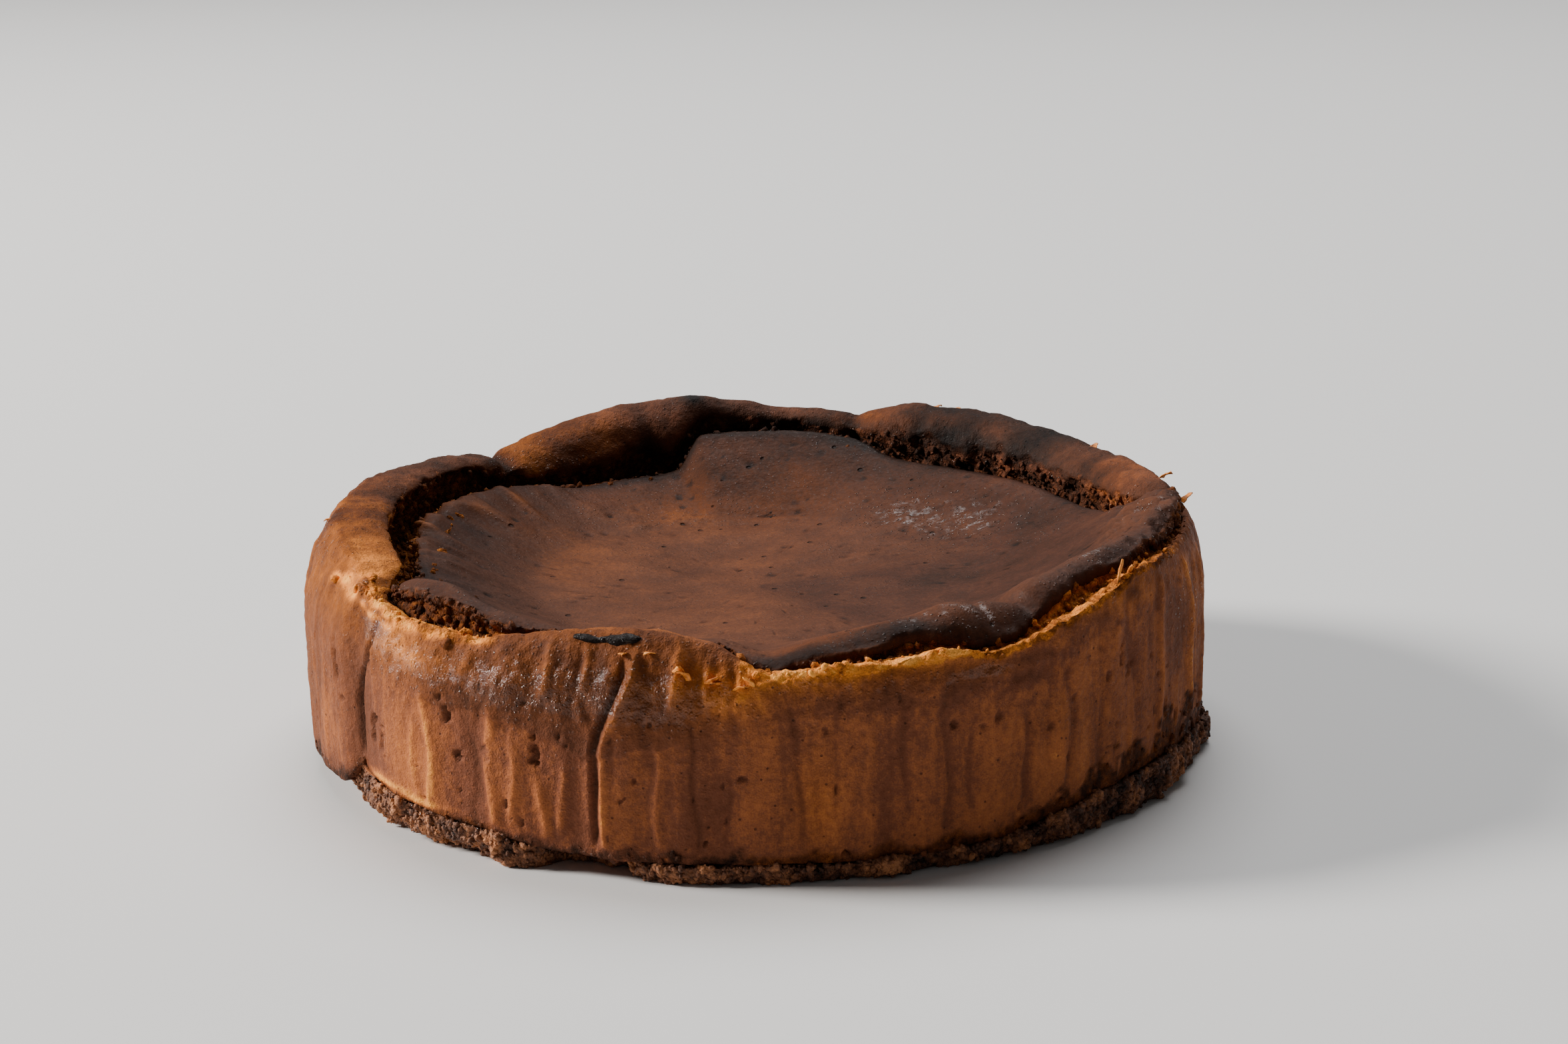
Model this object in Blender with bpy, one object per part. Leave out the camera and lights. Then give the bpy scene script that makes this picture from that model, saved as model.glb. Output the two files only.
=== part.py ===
"""A burnt Basque cheesecake, whole and uncut, on a thin base of chocolate biscuit crumb.

Two solids: the baked custard with its browned, cracked and sunken crust, and the crumb base
under it. Units are metres and +Z is up. The notch in the rim faces -Y, and every angle is in
degrees from there, positive towards +X.
"""
import math

import bpy
import numpy as np

# Driving dimensions
WALL_RADIUS = 0.1122        # a 9 inch tin, less what the cake shrinks as it cools
STRAIGHT_WALL = 0.038       # height up to which the wall stands straight
FLOOR_RADIUS = 0.055        # flat middle of the sunken top
FLOOR_HEIGHT = 0.0395       # height of the top at the edge of that flat middle
CENTRE_SINK = 0.0022        # how much lower the very middle lies
NODE_GAP = 0.0003           # air left between the custard and the crumb base
WALL_FOOT = 0.0020          # least width of the wall's foot outside the crumb base
FOOT_TUCK = 0.0006          # how far the wall draws in at its foot
FOOT_TUCK_POWER = 6         # how quickly that ends with height
FOOT_BEVEL = 0.2            # share of the foot's width that is cut away inside

# Shape of the rim
SHOULDER_POWER = 1.6        # fullness of the curve from the straight wall to the rim's crest
SHOULDER_ROOT = 0.6
LIP_CURL = 55.0             # how fast the inner lip bends down towards its broken edge, per metre
LIP_THICKNESS = 0.0024      # broken face under the lip's edge
LIP_EDGE_LEAN = 0.0002      # how far the foot of that face stands out
FULL_OVERHANG = 0.0050      # overhang of the lip where the wall's top edge is torn right through
CRAG_SIZE = 0.0012          # crumbly unevenness inside the cracks
TORN_EDGE = 0.0005          # unevenness of the torn edges of the wall and of the lip

# Shape of the cracks
CRACK_UNDERCUT = 0.30       # share of the crack's depth by which its walls are hollowed
CRACK_WAIST = 0.55          # share of the way down at which they are hollowed most
CRACK_FLOOR_WIDTH = 0.35    # share of the crack's width that is flat floor
ROUGH_DEPTH = 0.008         # depth from which a crack is crumbly in full

# Slope of the sunken top
SLOPE_POWER = 1.35          # how much the slope steepens towards the lip
SLOPE_BULGE = 0.35          # how much its middle bulges
SWELLINGS = ((3, 0.0005, 0.7, 0.0), (5, 0.0004, -1.1, 40.0))   # count, size, phase, twist per metre
PUCKER_ANGLE = -95.0        # middle of the puckered stretch below the left lobe
PUCKER_SPREAD = 35.0
PUCKER_COUNT = 26
PUCKER_SIZE = 0.0005
PUCKER_RADIUS = 0.060       # radius from which the puckers grow
PUCKER_GROWTH = 0.015       # and over how far

# Paper folds baked into the wall: angle, sideways drift with height, half width, outward size
PLEATS = (
    (-57.5, 0.0, 2.6, -0.0022),
    (-47.0, 1.0, 3.2, 0.0008),
    (-41.0, 0.0, 2.6, 0.0007),
    (-32.5, 0.0, 2.6, 0.0007),
    (-21.5, 1.0, 2.6, -0.0008),
    (-17.8, 1.5, 2.4, 0.0010),
    (3.5, 0.0, 2.6, -0.0006),
    (16.0, -1.0, 2.8, -0.0005),
    (32.0, 0.0, 2.8, -0.0006),
    (49.0, 0.0, 2.8, -0.0006),
    (63.0, 1.0, 2.6, 0.0006),
)
PAPER_WAVES = ((23, 0.00016, 0.4), (37, 0.00022, 1.9), (52, 0.00014, 3.1))   # count, size, phase
FOLDS_START = 0.15          # height, in straight walls, by which the folds have grown to their size
FOLDS_FADE = 1.30           # height from which they fade
FOLDS_END = 1.55            # height at which they end

# Stretches of the rim, going round from the left. The wall's top edge is the crest of a puffed
# lobe or the torn top of the wall, the foot is where it drops into the crack, and the lip is
# the edge of the sunken skin on the crack's inner side. Radii, heights, crack depth, overhang.
STRETCH_FIELDS = ("angle", "crest_r", "crest_z", "foot_r", "foot_z", "crack", "lip_r", "lip_z",
                  "overhang")
STRETCHES = (
    # back left lobe, with a tall face down to the crack
    (-172, 0.1040, 0.0645, 0.0975, 0.0580, 0.0060, 0.0925, 0.0555, 0.0020),
    (-166, 0.1040, 0.0646, 0.0920, 0.0505, 0.0060, 0.0850, 0.0475, 0.0020),
    (-146, 0.1035, 0.0595, 0.0915, 0.0495, 0.0050, 0.0840, 0.0470, 0.0020),
    # saddle between the lobes
    (-137, 0.1030, 0.0562, 0.0925, 0.0505, 0.0060, 0.0870, 0.0490, 0.0020),
    # left lobe, wide and smooth, with the deep crack inside it
    (-124, 0.1015, 0.0595, 0.0930, 0.0565, 0.0110, 0.0865, 0.0510, 0.0020),
    (-105, 0.1020, 0.0610, 0.0910, 0.0575, 0.0130, 0.0835, 0.0515, 0.0015),
    (-84, 0.1025, 0.0603, 0.0905, 0.0575, 0.0130, 0.0820, 0.0515, 0.0015),
    (-66, 0.1030, 0.0575, 0.0925, 0.0555, 0.0110, 0.0855, 0.0520, 0.0020),
    # flap of the sunken skin, lifted clear of the torn wall
    (-54, 0.1080, 0.0535, 0.1045, 0.0515, 0.0030, 0.0970, 0.0565, 0.0050),
    (-46, 0.1090, 0.0515, 0.1050, 0.0500, 0.0015, 0.0980, 0.0580, 0.0050),
    (-36, 0.1080, 0.0515, 0.1040, 0.0500, 0.0015, 0.0980, 0.0552, 0.0045),
    # front left lobe, low and rounded
    (-27, 0.1040, 0.0538, 0.0985, 0.0510, 0.0020, 0.0950, 0.0520, 0.0020),
    (-15, 0.1025, 0.0556, 0.0950, 0.0520, 0.0035, 0.0900, 0.0505, 0.0015),
    (-6, 0.1035, 0.0530, 0.0970, 0.0500, 0.0035, 0.0920, 0.0505, 0.0015),
    # notch, then the curled lip of sunken skin above the torn wall
    (1, 0.1085, 0.0482, 0.1055, 0.0465, 0.0030, 0.0975, 0.0488, 0.0055),
    (8, 0.1098, 0.0485, 0.1065, 0.0475, 0.0015, 0.0980, 0.0517, 0.0060),
    (19, 0.1100, 0.0500, 0.1070, 0.0490, 0.0010, 0.0980, 0.0548, 0.0065),
    # place where the lip folds down over the wall
    (28, 0.1110, 0.0486, 0.1095, 0.0480, 0.0008, 0.0980, 0.0560, 0.0098),
    (34, 0.1110, 0.0500, 0.1080, 0.0488, 0.0012, 0.0980, 0.0545, 0.0080),
    # right side, where the lip climbs and at last lies over the wall
    (42, 0.1110, 0.0536, 0.1075, 0.0525, 0.0015, 0.0980, 0.0583, 0.0060),
    (53, 0.1105, 0.0576, 0.1070, 0.0560, 0.0020, 0.0990, 0.0603, 0.0050),
    (68, 0.1085, 0.0572, 0.1070, 0.0566, 0.0010, 0.1015, 0.0608, 0.0040),
    (86, 0.1072, 0.0572, 0.1062, 0.0570, 0.0006, 0.1022, 0.0615, 0.0035),
    # back right lobe, with jagged crumb under it
    (97, 0.1035, 0.0605, 0.0945, 0.0550, 0.0050, 0.0905, 0.0510, 0.0015),
    (115, 0.1030, 0.0600, 0.0920, 0.0530, 0.0070, 0.0870, 0.0480, 0.0015),
    (135, 0.1030, 0.0625, 0.0920, 0.0540, 0.0080, 0.0870, 0.0480, 0.0015),
    (153, 0.1035, 0.0632, 0.0930, 0.0550, 0.0060, 0.0880, 0.0500, 0.0020),
    # thin back rim, where the sunken skin climbs close to the crest
    (163, 0.1040, 0.0598, 0.0965, 0.0555, 0.0040, 0.0925, 0.0545, 0.0015),
    (176, 0.1040, 0.0612, 0.0985, 0.0575, 0.0050, 0.0935, 0.0560, 0.0015),
)

# Crumb base: height of its top at the wall, outer radius, radius of its underside, and how far
# the custard laps down over its edge
BASE_FIELDS = ("angle", "top", "outer_r", "under_r", "lap")
BASE_STRETCHES = (
    (-128, 0.0065, 0.1108, 0.1098, 0.0000),
    (-116, 0.0075, 0.1075, 0.1065, 0.0000),
    (-110, 0.0078, 0.1070, 0.1060, 0.0040),
    (-75, 0.0085, 0.1060, 0.1050, 0.0055),
    (-63, 0.0102, 0.1075, 0.1060, 0.0065),
    (-58, 0.0107, 0.1092, 0.1065, 0.0000),
    (-54, 0.0105, 0.1118, 0.1075, 0.0000),
    (-46, 0.0094, 0.1120, 0.1080, 0.0000),
    (-37, 0.0078, 0.1122, 0.1085, 0.0000),
    (-33, 0.0074, 0.1128, 0.1118, 0.0000),
    (-28, 0.0060, 0.1124, 0.1116, 0.0000),
    (-25, 0.0052, 0.1035, 0.1030, 0.0000),
    (-17, 0.0048, 0.1035, 0.1030, 0.0000),
    (-14, 0.0046, 0.1118, 0.1108, 0.0000),
    (0, 0.0043, 0.1121, 0.1115, 0.0000),
    (15, 0.0040, 0.1120, 0.1114, 0.0000),
    (28, 0.0042, 0.1118, 0.1110, 0.0000),
    (36, 0.0066, 0.1128, 0.1112, 0.0000),
    (45, 0.0085, 0.1124, 0.1114, 0.0000),
    (58, 0.0095, 0.1130, 0.1120, 0.0000),
    (72, 0.0080, 0.1122, 0.1110, 0.0000),
    (81, 0.0062, 0.1136, 0.1125, 0.0000),
    (90, 0.0055, 0.1118, 0.1110, 0.0000),
    (130, 0.0050, 0.1120, 0.1112, 0.0000),
    (180, 0.0055, 0.1118, 0.1110, 0.0000),
)
BASE_MIDDLE_TOP = 0.0056    # height of the crumb layer away from the wall
BASE_FLAT_RADIUS = 0.094    # radius inside which it keeps that height
BASE_RAGGED = 0.0005        # unevenness of its broken edge
BASE_WIDEST = 0.55          # share of its edge's height at which it is widest
BASE_UNDER_ROUND = 0.0012   # width and height of the rounding under its edge
BASE_UNDER_LIFT = 0.0008

# Fineness of the faceted solids
COLUMNS = 144
WALL_RINGS = 6
SHOULDER_RINGS = 6
LOBE_RINGS = 3
LIP_RINGS = 2
SLOPE_RINGS = 7
FLOOR_RINGS = 3

CRUST_BROWN = (0.165, 0.066, 0.028, 1.0)
CRUMB_DARK = (0.030, 0.012, 0.007, 1.0)


def clear_scene():
    """Remove whatever the open scene holds."""
    for old in list(bpy.data.objects):
        bpy.data.objects.remove(old, do_unlink=True)


def round_cake(known_angles, values, angles):
    """Read a smooth closed curve through the values, which never swings past them."""
    order = np.argsort(known_angles)
    x = np.asarray(known_angles, float)[order]
    y = np.asarray(values, float)[order]
    x = np.concatenate((x - 360.0, x, x + 360.0))
    y = np.tile(y, 3)
    step = np.diff(x)
    rise = np.diff(y) / step
    product = rise[:-1] * rise[1:]
    total = np.where(product > 0.0, rise[:-1] + rise[1:], 1.0)
    slope = np.zeros_like(y)
    slope[1:-1] = np.where(product > 0.0, 2.0 * product / total, 0.0)
    at = np.clip(np.searchsorted(x, angles, side="right") - 1, 0, len(step) - 1)
    t = (angles - x[at]) / step[at]
    start = (1.0 + 2.0 * t) * (1.0 - t) ** 2 * y[at]
    end = t * t * (3.0 - 2.0 * t) * y[at + 1]
    lean = step[at] * t * (1.0 - t) * ((1.0 - t) * slope[at] - t * slope[at + 1])
    return start + end + lean


def read_table(fields, rows, angles):
    """Give each field of a table of stretches as an array over the angles."""
    columns = np.array(rows, float).T
    return {name: round_cake(columns[0], column, angles)
            for name, column in zip(fields[1:], columns[1:])}


def crags(angles, seed, size, finest=41):
    """Uneven crumb edge: a closed sum of waves with seeded sizes and phases."""
    draw = np.random.RandomState(seed)
    turn = np.radians(angles)
    total = np.zeros_like(turn)
    for count in range(9, finest, 4):
        total += draw.uniform(0.4, 1.0) * np.sin(count * turn + draw.uniform(0.0, 2.0 * math.pi))
    return size * total / 2.0


def paper_relief(angles, height):
    """Folds that the baking paper left in the wall, as an outward distance."""
    relief = np.zeros_like(angles)
    for count, size, phase in PAPER_WAVES:
        relief += size * np.sin(count * np.radians(angles) + phase)
    lift = height / STRAIGHT_WALL
    for angle, drift, half_width, size in PLEATS:
        offset = (angles - angle - drift * lift) / half_width
        relief += size * np.exp(-offset ** 2)
    grown = np.clip(lift / FOLDS_START, 0.0, 1.0)
    left = np.clip((FOLDS_END - lift) / (FOLDS_END - FOLDS_FADE), 0.0, 1.0)
    return relief * grown * left


def wall_rings(angles, rim, bottom):
    """Wall from its foot to the crest, straight at first and then drawn in."""
    rings = []
    for step in range(WALL_RINGS):
        share = step / WALL_RINGS
        height = bottom + (STRAIGHT_WALL - bottom) * share
        tuck = FOOT_TUCK * (1.0 - share) ** FOOT_TUCK_POWER
        rings.append((WALL_RADIUS - tuck + paper_relief(angles, height), height))
    inset = WALL_RADIUS - rim["crest_r"]
    for step in range(SHOULDER_RINGS + 1):
        share = math.sin(0.5 * math.pi * step / SHOULDER_RINGS)
        height = STRAIGHT_WALL + (rim["crest_z"] - STRAIGHT_WALL) * share
        fullness = (1.0 - share ** SHOULDER_POWER) ** SHOULDER_ROOT
        relief = paper_relief(angles, height)
        rings.append((rim["crest_r"] + inset * fullness + relief * fullness, height))
    return rings


def lobe_rings(rim):
    """Top of the wall's crust, from its crest round to the foot that hangs over the crack."""
    rings = []
    for step in range(1, LOBE_RINGS + 1):
        turn = 0.5 * math.pi * step / LOBE_RINGS
        rings.append((rim["crest_r"] - (rim["crest_r"] - rim["foot_r"]) * math.sin(turn),
                      rim["crest_z"] - (rim["crest_z"] - rim["foot_z"]) * (1.0 - math.cos(turn))))
    return rings


def crack_rings(angles, rim, edge_r, edge_z):
    """Torn crack between the wall's crust and the sunken skin, hollowed on both sides."""
    face_z = edge_z - LIP_THICKNESS
    floor_z = np.minimum(rim["foot_z"], face_z) - rim["crack"]
    middle = 0.5 * (rim["foot_r"] + edge_r)
    undercut = CRACK_UNDERCUT * rim["crack"]
    rough = np.minimum(rim["crack"] / ROUGH_DEPTH, 1.0)
    outer_r = rim["foot_r"] + undercut + rough * crags(angles, 3, CRAG_SIZE)
    inner_r = edge_r - undercut + rough * crags(angles, 5, CRAG_SIZE)
    floor_r = middle + rough * crags(angles, 7, CRAG_SIZE)
    wide = CRACK_FLOOR_WIDTH
    outer_z = rim["foot_z"] + (floor_z - rim["foot_z"]) * CRACK_WAIST
    inner_z = floor_z + (face_z - floor_z) * CRACK_WAIST
    return [
        (outer_r, outer_z),
        (floor_r + (outer_r - floor_r) * wide, floor_z + rough * crags(angles, 11, CRAG_SIZE)),
        (floor_r + (inner_r - floor_r) * wide, floor_z + rough * crags(angles, 13, CRAG_SIZE)),
        (inner_r, inner_z),
        (edge_r + LIP_EDGE_LEAN, face_z),
    ]


def lip_rings(angles, rim, edge_r, edge_z):
    """Curled lip of the sunken skin, from its broken edge to its crest."""
    rings = [(edge_r, edge_z)]
    for step in range(1, LIP_RINGS + 1):
        share = step / LIP_RINGS
        r = edge_r + (rim["lip_r"] - edge_r) * share
        rings.append((r, rim["lip_z"] - LIP_CURL * (r - rim["lip_r"]) ** 2))
    return rings


def dish_relief(angles, radius):
    """Low swellings of the sunken skin, and the puckers below its left edge."""
    turn = np.radians(angles)
    swell = sum(size * np.sin(count * turn + phase + twist * radius)
                for count, size, phase, twist in SWELLINGS)
    near_left = np.exp(-((angles - PUCKER_ANGLE) / PUCKER_SPREAD) ** 2)
    grown = np.clip((radius - PUCKER_RADIUS) / PUCKER_GROWTH, 0.0, 1.0)
    puckers = PUCKER_SIZE * near_left * grown * np.sin(PUCKER_COUNT * turn)
    return swell * np.clip(radius / FLOOR_RADIUS, 0.0, 1.0) + puckers


def dish_rings(angles, rim):
    """Sunken top, from the lip's crest down its slope and over the nearly flat middle."""
    rings = []
    for step in range(1, SLOPE_RINGS + 1):
        share = 1.0 - step / SLOPE_RINGS
        r = FLOOR_RADIUS + (rim["lip_r"] - FLOOR_RADIUS) * share
        rise = share ** SLOPE_POWER * (1.0 + SLOPE_BULGE * share * (1.0 - share))
        height = FLOOR_HEIGHT + (rim["lip_z"] - FLOOR_HEIGHT) * rise
        rings.append((r, height + dish_relief(angles, r)))
    for step in range(1, FLOOR_RINGS + 1):
        share = 1.0 - step / (FLOOR_RINGS + 1)
        r = FLOOR_RADIUS * share
        height = FLOOR_HEIGHT - CENTRE_SINK * (1.0 - share ** 2)
        rings.append((r, height + dish_relief(angles, r)))
    return rings


def base_surface(base, radius):
    """Height of the crumb layer's top at a radius, level in the middle and ramped to the wall."""
    ramp = (radius - BASE_FLAT_RADIUS) / (base["outer_r"] - BASE_FLAT_RADIUS)
    return BASE_MIDDLE_TOP + (base["top"] - BASE_MIDDLE_TOP) * np.clip(ramp, 0.0, None)


def underside_rings(base):
    """Underside of the custard: flat over the crumb, then the skirt that laps it at the left."""
    ledge_r = np.minimum(base["outer_r"] + NODE_GAP, WALL_RADIUS - WALL_FOOT)
    ledge_z = base_surface(base, ledge_r) + NODE_GAP
    clear_z = base_surface(base, np.maximum(base["outer_r"], WALL_RADIUS)) + NODE_GAP
    bottom = np.maximum(ledge_z, clear_z) - base["lap"]
    rings = [
        (0.5 * BASE_FLAT_RADIUS, BASE_MIDDLE_TOP + NODE_GAP),
        (BASE_FLAT_RADIUS, BASE_MIDDLE_TOP + NODE_GAP),
        (ledge_r, ledge_z),
        (ledge_r + FOOT_BEVEL * WALL_FOOT, bottom),
    ]
    return rings, bottom


def closed_body(name, rings, low_centre, high_centre, slant, material):
    """Skin the rings, from the bottom centre to the top centre, as one closed faceted body.

    Slant turns the diagonals of the facets, so that the two bodies match where they meet.
    """
    turn = np.radians(column_angles())
    verts = [(0.0, 0.0, low_centre)]
    for radius, height in rings:
        radius = np.broadcast_to(radius, turn.shape)
        height = np.broadcast_to(height, turn.shape)
        x = radius * np.sin(turn)
        y = -radius * np.cos(turn)
        verts.extend(zip(x.tolist(), y.tolist(), height.tolist()))
    verts.append((0.0, 0.0, high_centre))
    top = len(verts) - 1
    faces = []
    for column in range(COLUMNS):
        after = (column + 1) % COLUMNS
        faces.append((0, 1 + after, 1 + column))
        for ring in range(len(rings) - 1):
            low = 1 + ring * COLUMNS
            high = low + COLUMNS
            a, b, c, d = low + column, low + after, high + after, high + column
            if slant:
                faces.extend(((a, b, c), (a, c, d)))
            else:
                faces.extend(((a, b, d), (b, c, d)))
        last = 1 + (len(rings) - 1) * COLUMNS
        faces.append((last + column, last + after, top))
    mesh = bpy.data.meshes.new(name)
    mesh.from_pydata(verts, [], faces)
    mesh.materials.append(material)
    mesh.validate()
    mesh.shade_smooth()
    mesh.set_sharp_from_angle(angle=math.radians(50.0))
    body = bpy.data.objects.new(name, mesh)
    bpy.context.scene.collection.objects.link(body)
    return body


def column_angles():
    """Angles of the columns of faces, evenly round the cake."""
    return -180.0 + 360.0 * np.arange(COLUMNS) / COLUMNS


def finish(name, colour, roughness):
    """Plain baked finish in one colour."""
    material = bpy.data.materials.new(name)
    material.use_nodes = True
    shader = material.node_tree.nodes["Principled BSDF"]
    shader.inputs["Base Color"].default_value = colour
    shader.inputs["Roughness"].default_value = roughness
    shader.inputs["Metallic"].default_value = 0.0
    return material


def ragged_base(angles):
    """Table of the crumb base with its broken, uneven edge."""
    base = read_table(BASE_FIELDS, BASE_STRETCHES, angles)
    ragged = np.where(base["lap"] > 0.0, 0.0, crags(angles, 17, BASE_RAGGED, finest=61))
    base["outer_r"] = base["outer_r"] + ragged
    base["under_r"] = base["under_r"] + 0.5 * ragged
    return base


def make_cheesecake(angles, base):
    """The custard and its crust, as one solid."""
    rim = read_table(STRETCH_FIELDS, STRETCHES, angles)
    torn = np.clip(rim["overhang"] / FULL_OVERHANG, 0.0, 1.0) ** 4
    rim["crest_z"] = rim["crest_z"] + torn * crags(angles, 19, TORN_EDGE)
    edge_r = rim["lip_r"] + rim["overhang"] + crags(angles, 23, TORN_EDGE)
    edge_z = rim["lip_z"] - LIP_CURL * rim["overhang"] ** 2
    rings, bottom = underside_rings(base)
    rings += wall_rings(angles, rim, bottom)
    rings += lobe_rings(rim)
    rings += crack_rings(angles, rim, edge_r, edge_z)
    rings += lip_rings(angles, rim, edge_r, edge_z)
    rings += dish_rings(angles, rim)
    centre = FLOOR_HEIGHT - CENTRE_SINK
    material = finish("browned_crust", CRUST_BROWN, 0.45)
    low_centre = BASE_MIDDLE_TOP + NODE_GAP
    return closed_body("cheesecake", rings, low_centre, centre, True, material)


def make_crumb_base(angles, base):
    """The thin pressed layer of chocolate biscuit crumb under the whole cake."""
    rings = [
        (0.5 * BASE_FLAT_RADIUS, 0.0),
        (base["under_r"] - BASE_UNDER_ROUND, 0.0),
        (base["under_r"], BASE_UNDER_LIFT),
        (base["outer_r"], BASE_WIDEST * base["top"]),
        (base["outer_r"], base["top"]),
        (BASE_FLAT_RADIUS, BASE_MIDDLE_TOP),
        (0.5 * BASE_FLAT_RADIUS, BASE_MIDDLE_TOP),
    ]
    material = finish("chocolate_crumb", CRUMB_DARK, 0.7)
    return closed_body("crumb_base", rings, 0.0, BASE_MIDDLE_TOP, False, material)


clear_scene()
around = column_angles()
crumb = ragged_base(around)
make_cheesecake(around, crumb)
make_crumb_base(around, crumb)
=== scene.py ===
"""A burnt Basque cheesecake, whole and uncut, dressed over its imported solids.

Units are metres and +Z is up. The notch in the rim faces -Y. Angles round the cake are in
degrees from there, positive towards +X, and heights are above the underside.
"""
import math

import bpy
import numpy as np
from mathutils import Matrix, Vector


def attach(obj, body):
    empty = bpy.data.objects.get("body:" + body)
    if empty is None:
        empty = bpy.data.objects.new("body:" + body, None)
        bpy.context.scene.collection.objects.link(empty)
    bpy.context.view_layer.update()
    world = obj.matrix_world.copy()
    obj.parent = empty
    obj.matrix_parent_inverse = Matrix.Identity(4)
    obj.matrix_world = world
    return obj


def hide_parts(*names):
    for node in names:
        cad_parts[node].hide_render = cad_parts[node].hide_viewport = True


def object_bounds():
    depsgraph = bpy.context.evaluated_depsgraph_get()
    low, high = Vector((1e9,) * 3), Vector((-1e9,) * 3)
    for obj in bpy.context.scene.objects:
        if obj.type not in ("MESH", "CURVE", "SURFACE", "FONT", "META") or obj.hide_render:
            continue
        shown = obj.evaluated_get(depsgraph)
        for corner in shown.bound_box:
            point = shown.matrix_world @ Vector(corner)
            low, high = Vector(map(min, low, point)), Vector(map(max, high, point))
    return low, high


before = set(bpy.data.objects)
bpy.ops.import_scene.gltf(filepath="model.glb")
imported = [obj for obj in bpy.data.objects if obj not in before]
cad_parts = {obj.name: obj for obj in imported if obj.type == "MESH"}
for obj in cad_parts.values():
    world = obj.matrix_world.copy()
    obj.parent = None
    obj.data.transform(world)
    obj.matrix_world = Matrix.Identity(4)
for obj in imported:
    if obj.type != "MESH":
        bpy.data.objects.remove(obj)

cad_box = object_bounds()

# ---- Crumb base ------------------------------------------------------------------------------
# A thin layer of crushed chocolate biscuit and butter, pressed into the tin under the custard.
# Its edge is broken and craggy, it climbs a little up the wall on the left and the right, and a
# bit of it has broken away at the front left.

MM = 0.001
FRONT_CROWDING = 0.55        # how much closer together the columns of faces stand at the front

# Stretches of the base, going round from the back: angle, height of the edge's top, its radius
# above and below, and how far the wall laps over it, in millimetres.
BASE_FIELDS = ("angle", "top", "outer_r", "under_r", "lap")
BASE_STRETCHES = (
    (-128, 6.5, 110.8, 109.8, 0),
    (-116, 7.5, 107.5, 106.5, 0),
    (-110, 7.8, 107, 106, 4),
    (-75, 8.5, 106, 105, 5.5),
    (-63, 10.2, 107.5, 106, 6.5),
    (-58, 10.7, 109.2, 106.5, 0),
    (-54, 10.5, 111.8, 107.5, 0),
    (-46, 9.4, 112, 108, 0),
    (-37, 7.8, 112.2, 108.5, 0),
    (-33, 7.4, 112.8, 111.8, 0),
    (-28, 6, 112.4, 111.6, 0),
    (-25, 5.2, 103.5, 103, 0),
    (-17, 4.8, 103.5, 103, 0),
    (-14, 4.6, 111.8, 110.8, 0),
    (0, 4.3, 112.1, 111.5, 0),
    (15, 4, 112, 111.4, 0),
    (28, 4.2, 111.8, 111, 0),
    (36, 6.6, 112.8, 111.2, 0),
    (45, 8.5, 112.4, 111.4, 0),
    (58, 9.5, 113, 112, 0),
    (72, 8, 112.2, 111, 0),
    (81, 6.2, 113.6, 112.5, 0),
    (90, 5.5, 111.8, 111, 0),
    (130, 5, 112, 111.2, 0),
    (180, 5.5, 111.8, 111, 0),
)
BASE_MIDDLE_TOP = 0.0056
BASE_FLAT_RADIUS = 0.094
BASE_RAGGED = 0.0005
BASE_UNDER_ROUND = 0.0012
BASE_UNDER_LIFT = 0.0008
BASE_COLUMNS = 1000
BASE_EDGE_RINGS = 20
BASE_LEDGE_RINGS = 6
# Lumpy relief: height and size in millimetres, and seed. A tone is how browned a spot is.
BASE_LUMPS = ((0.95, 4.6, 31), (0.75, 2.0, 32), (0.30, 0.8, 33))
BASE_TONES = ((0.34, 2.6, 35), (0.14, 14.0, 36))
BASE_TONE = 0.47
# Painted shade in the crumb's hollows and painted light on its lumps:
BASE_HOLLOW_SHADE = 0.32      # to the millimetre


def column_angles(count):
    """Angles of the columns of faces, closer together at the front."""
    turn = 2.0 * math.pi * (np.arange(count) / count - 0.5)
    return np.degrees(turn - FRONT_CROWDING * np.sin(turn))


def apart(angles, angle):
    """Signed difference from an angle, the short way round."""
    return (angles - angle + 180.0) % 360.0 - 180.0


def bell(angles, angle, half_width):
    """Soft bump round an angle, 1 at its middle."""
    return np.exp(-(apart(angles, angle) / half_width) ** 2)


def round_cake(known_angles, values, angles):
    """Read a smooth closed curve through the values, which never swings past them."""
    order = np.argsort(known_angles)
    x = np.asarray(known_angles, float)[order]
    y = np.asarray(values, float)[order]
    x = np.concatenate((x - 360.0, x, x + 360.0))
    y = np.tile(y, 3)
    step = np.diff(x)
    rise = np.diff(y) / step
    product = rise[:-1] * rise[1:]
    total = np.where(product > 0.0, rise[:-1] + rise[1:], 1.0)
    slope = np.zeros_like(y)
    slope[1:-1] = np.where(product > 0.0, 2.0 * product / total, 0.0)
    at = np.clip(np.searchsorted(x, angles, side="right") - 1, 0, len(step) - 1)
    t = (angles - x[at]) / step[at]
    start = (1.0 + 2.0 * t) * (1.0 - t) ** 2 * y[at]
    end = t * t * (3.0 - 2.0 * t) * y[at + 1]
    lean = step[at] * t * (1.0 - t) * ((1.0 - t) * slope[at] - t * slope[at + 1])
    return start + end + lean


def read_table(fields, rows, angles, unit=1.0):
    """Give each field of a table of stretches as an array over the angles."""
    columns = np.array(rows, float).T
    return {name: round_cake(columns[0], unit * column, angles)
            for name, column in zip(fields[1:], columns[1:])}


def crags(angles, seed, size, finest=41):
    """Uneven crumb edge: a closed sum of waves with seeded sizes and phases."""
    draw = np.random.RandomState(seed)
    turn = np.radians(angles)
    total = np.zeros_like(turn)
    for count in range(9, finest, 4):
        total += draw.uniform(0.4, 1.0) * np.sin(count * turn + draw.uniform(0.0, 2.0 * math.pi))
    return size * total / 2.0


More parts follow.
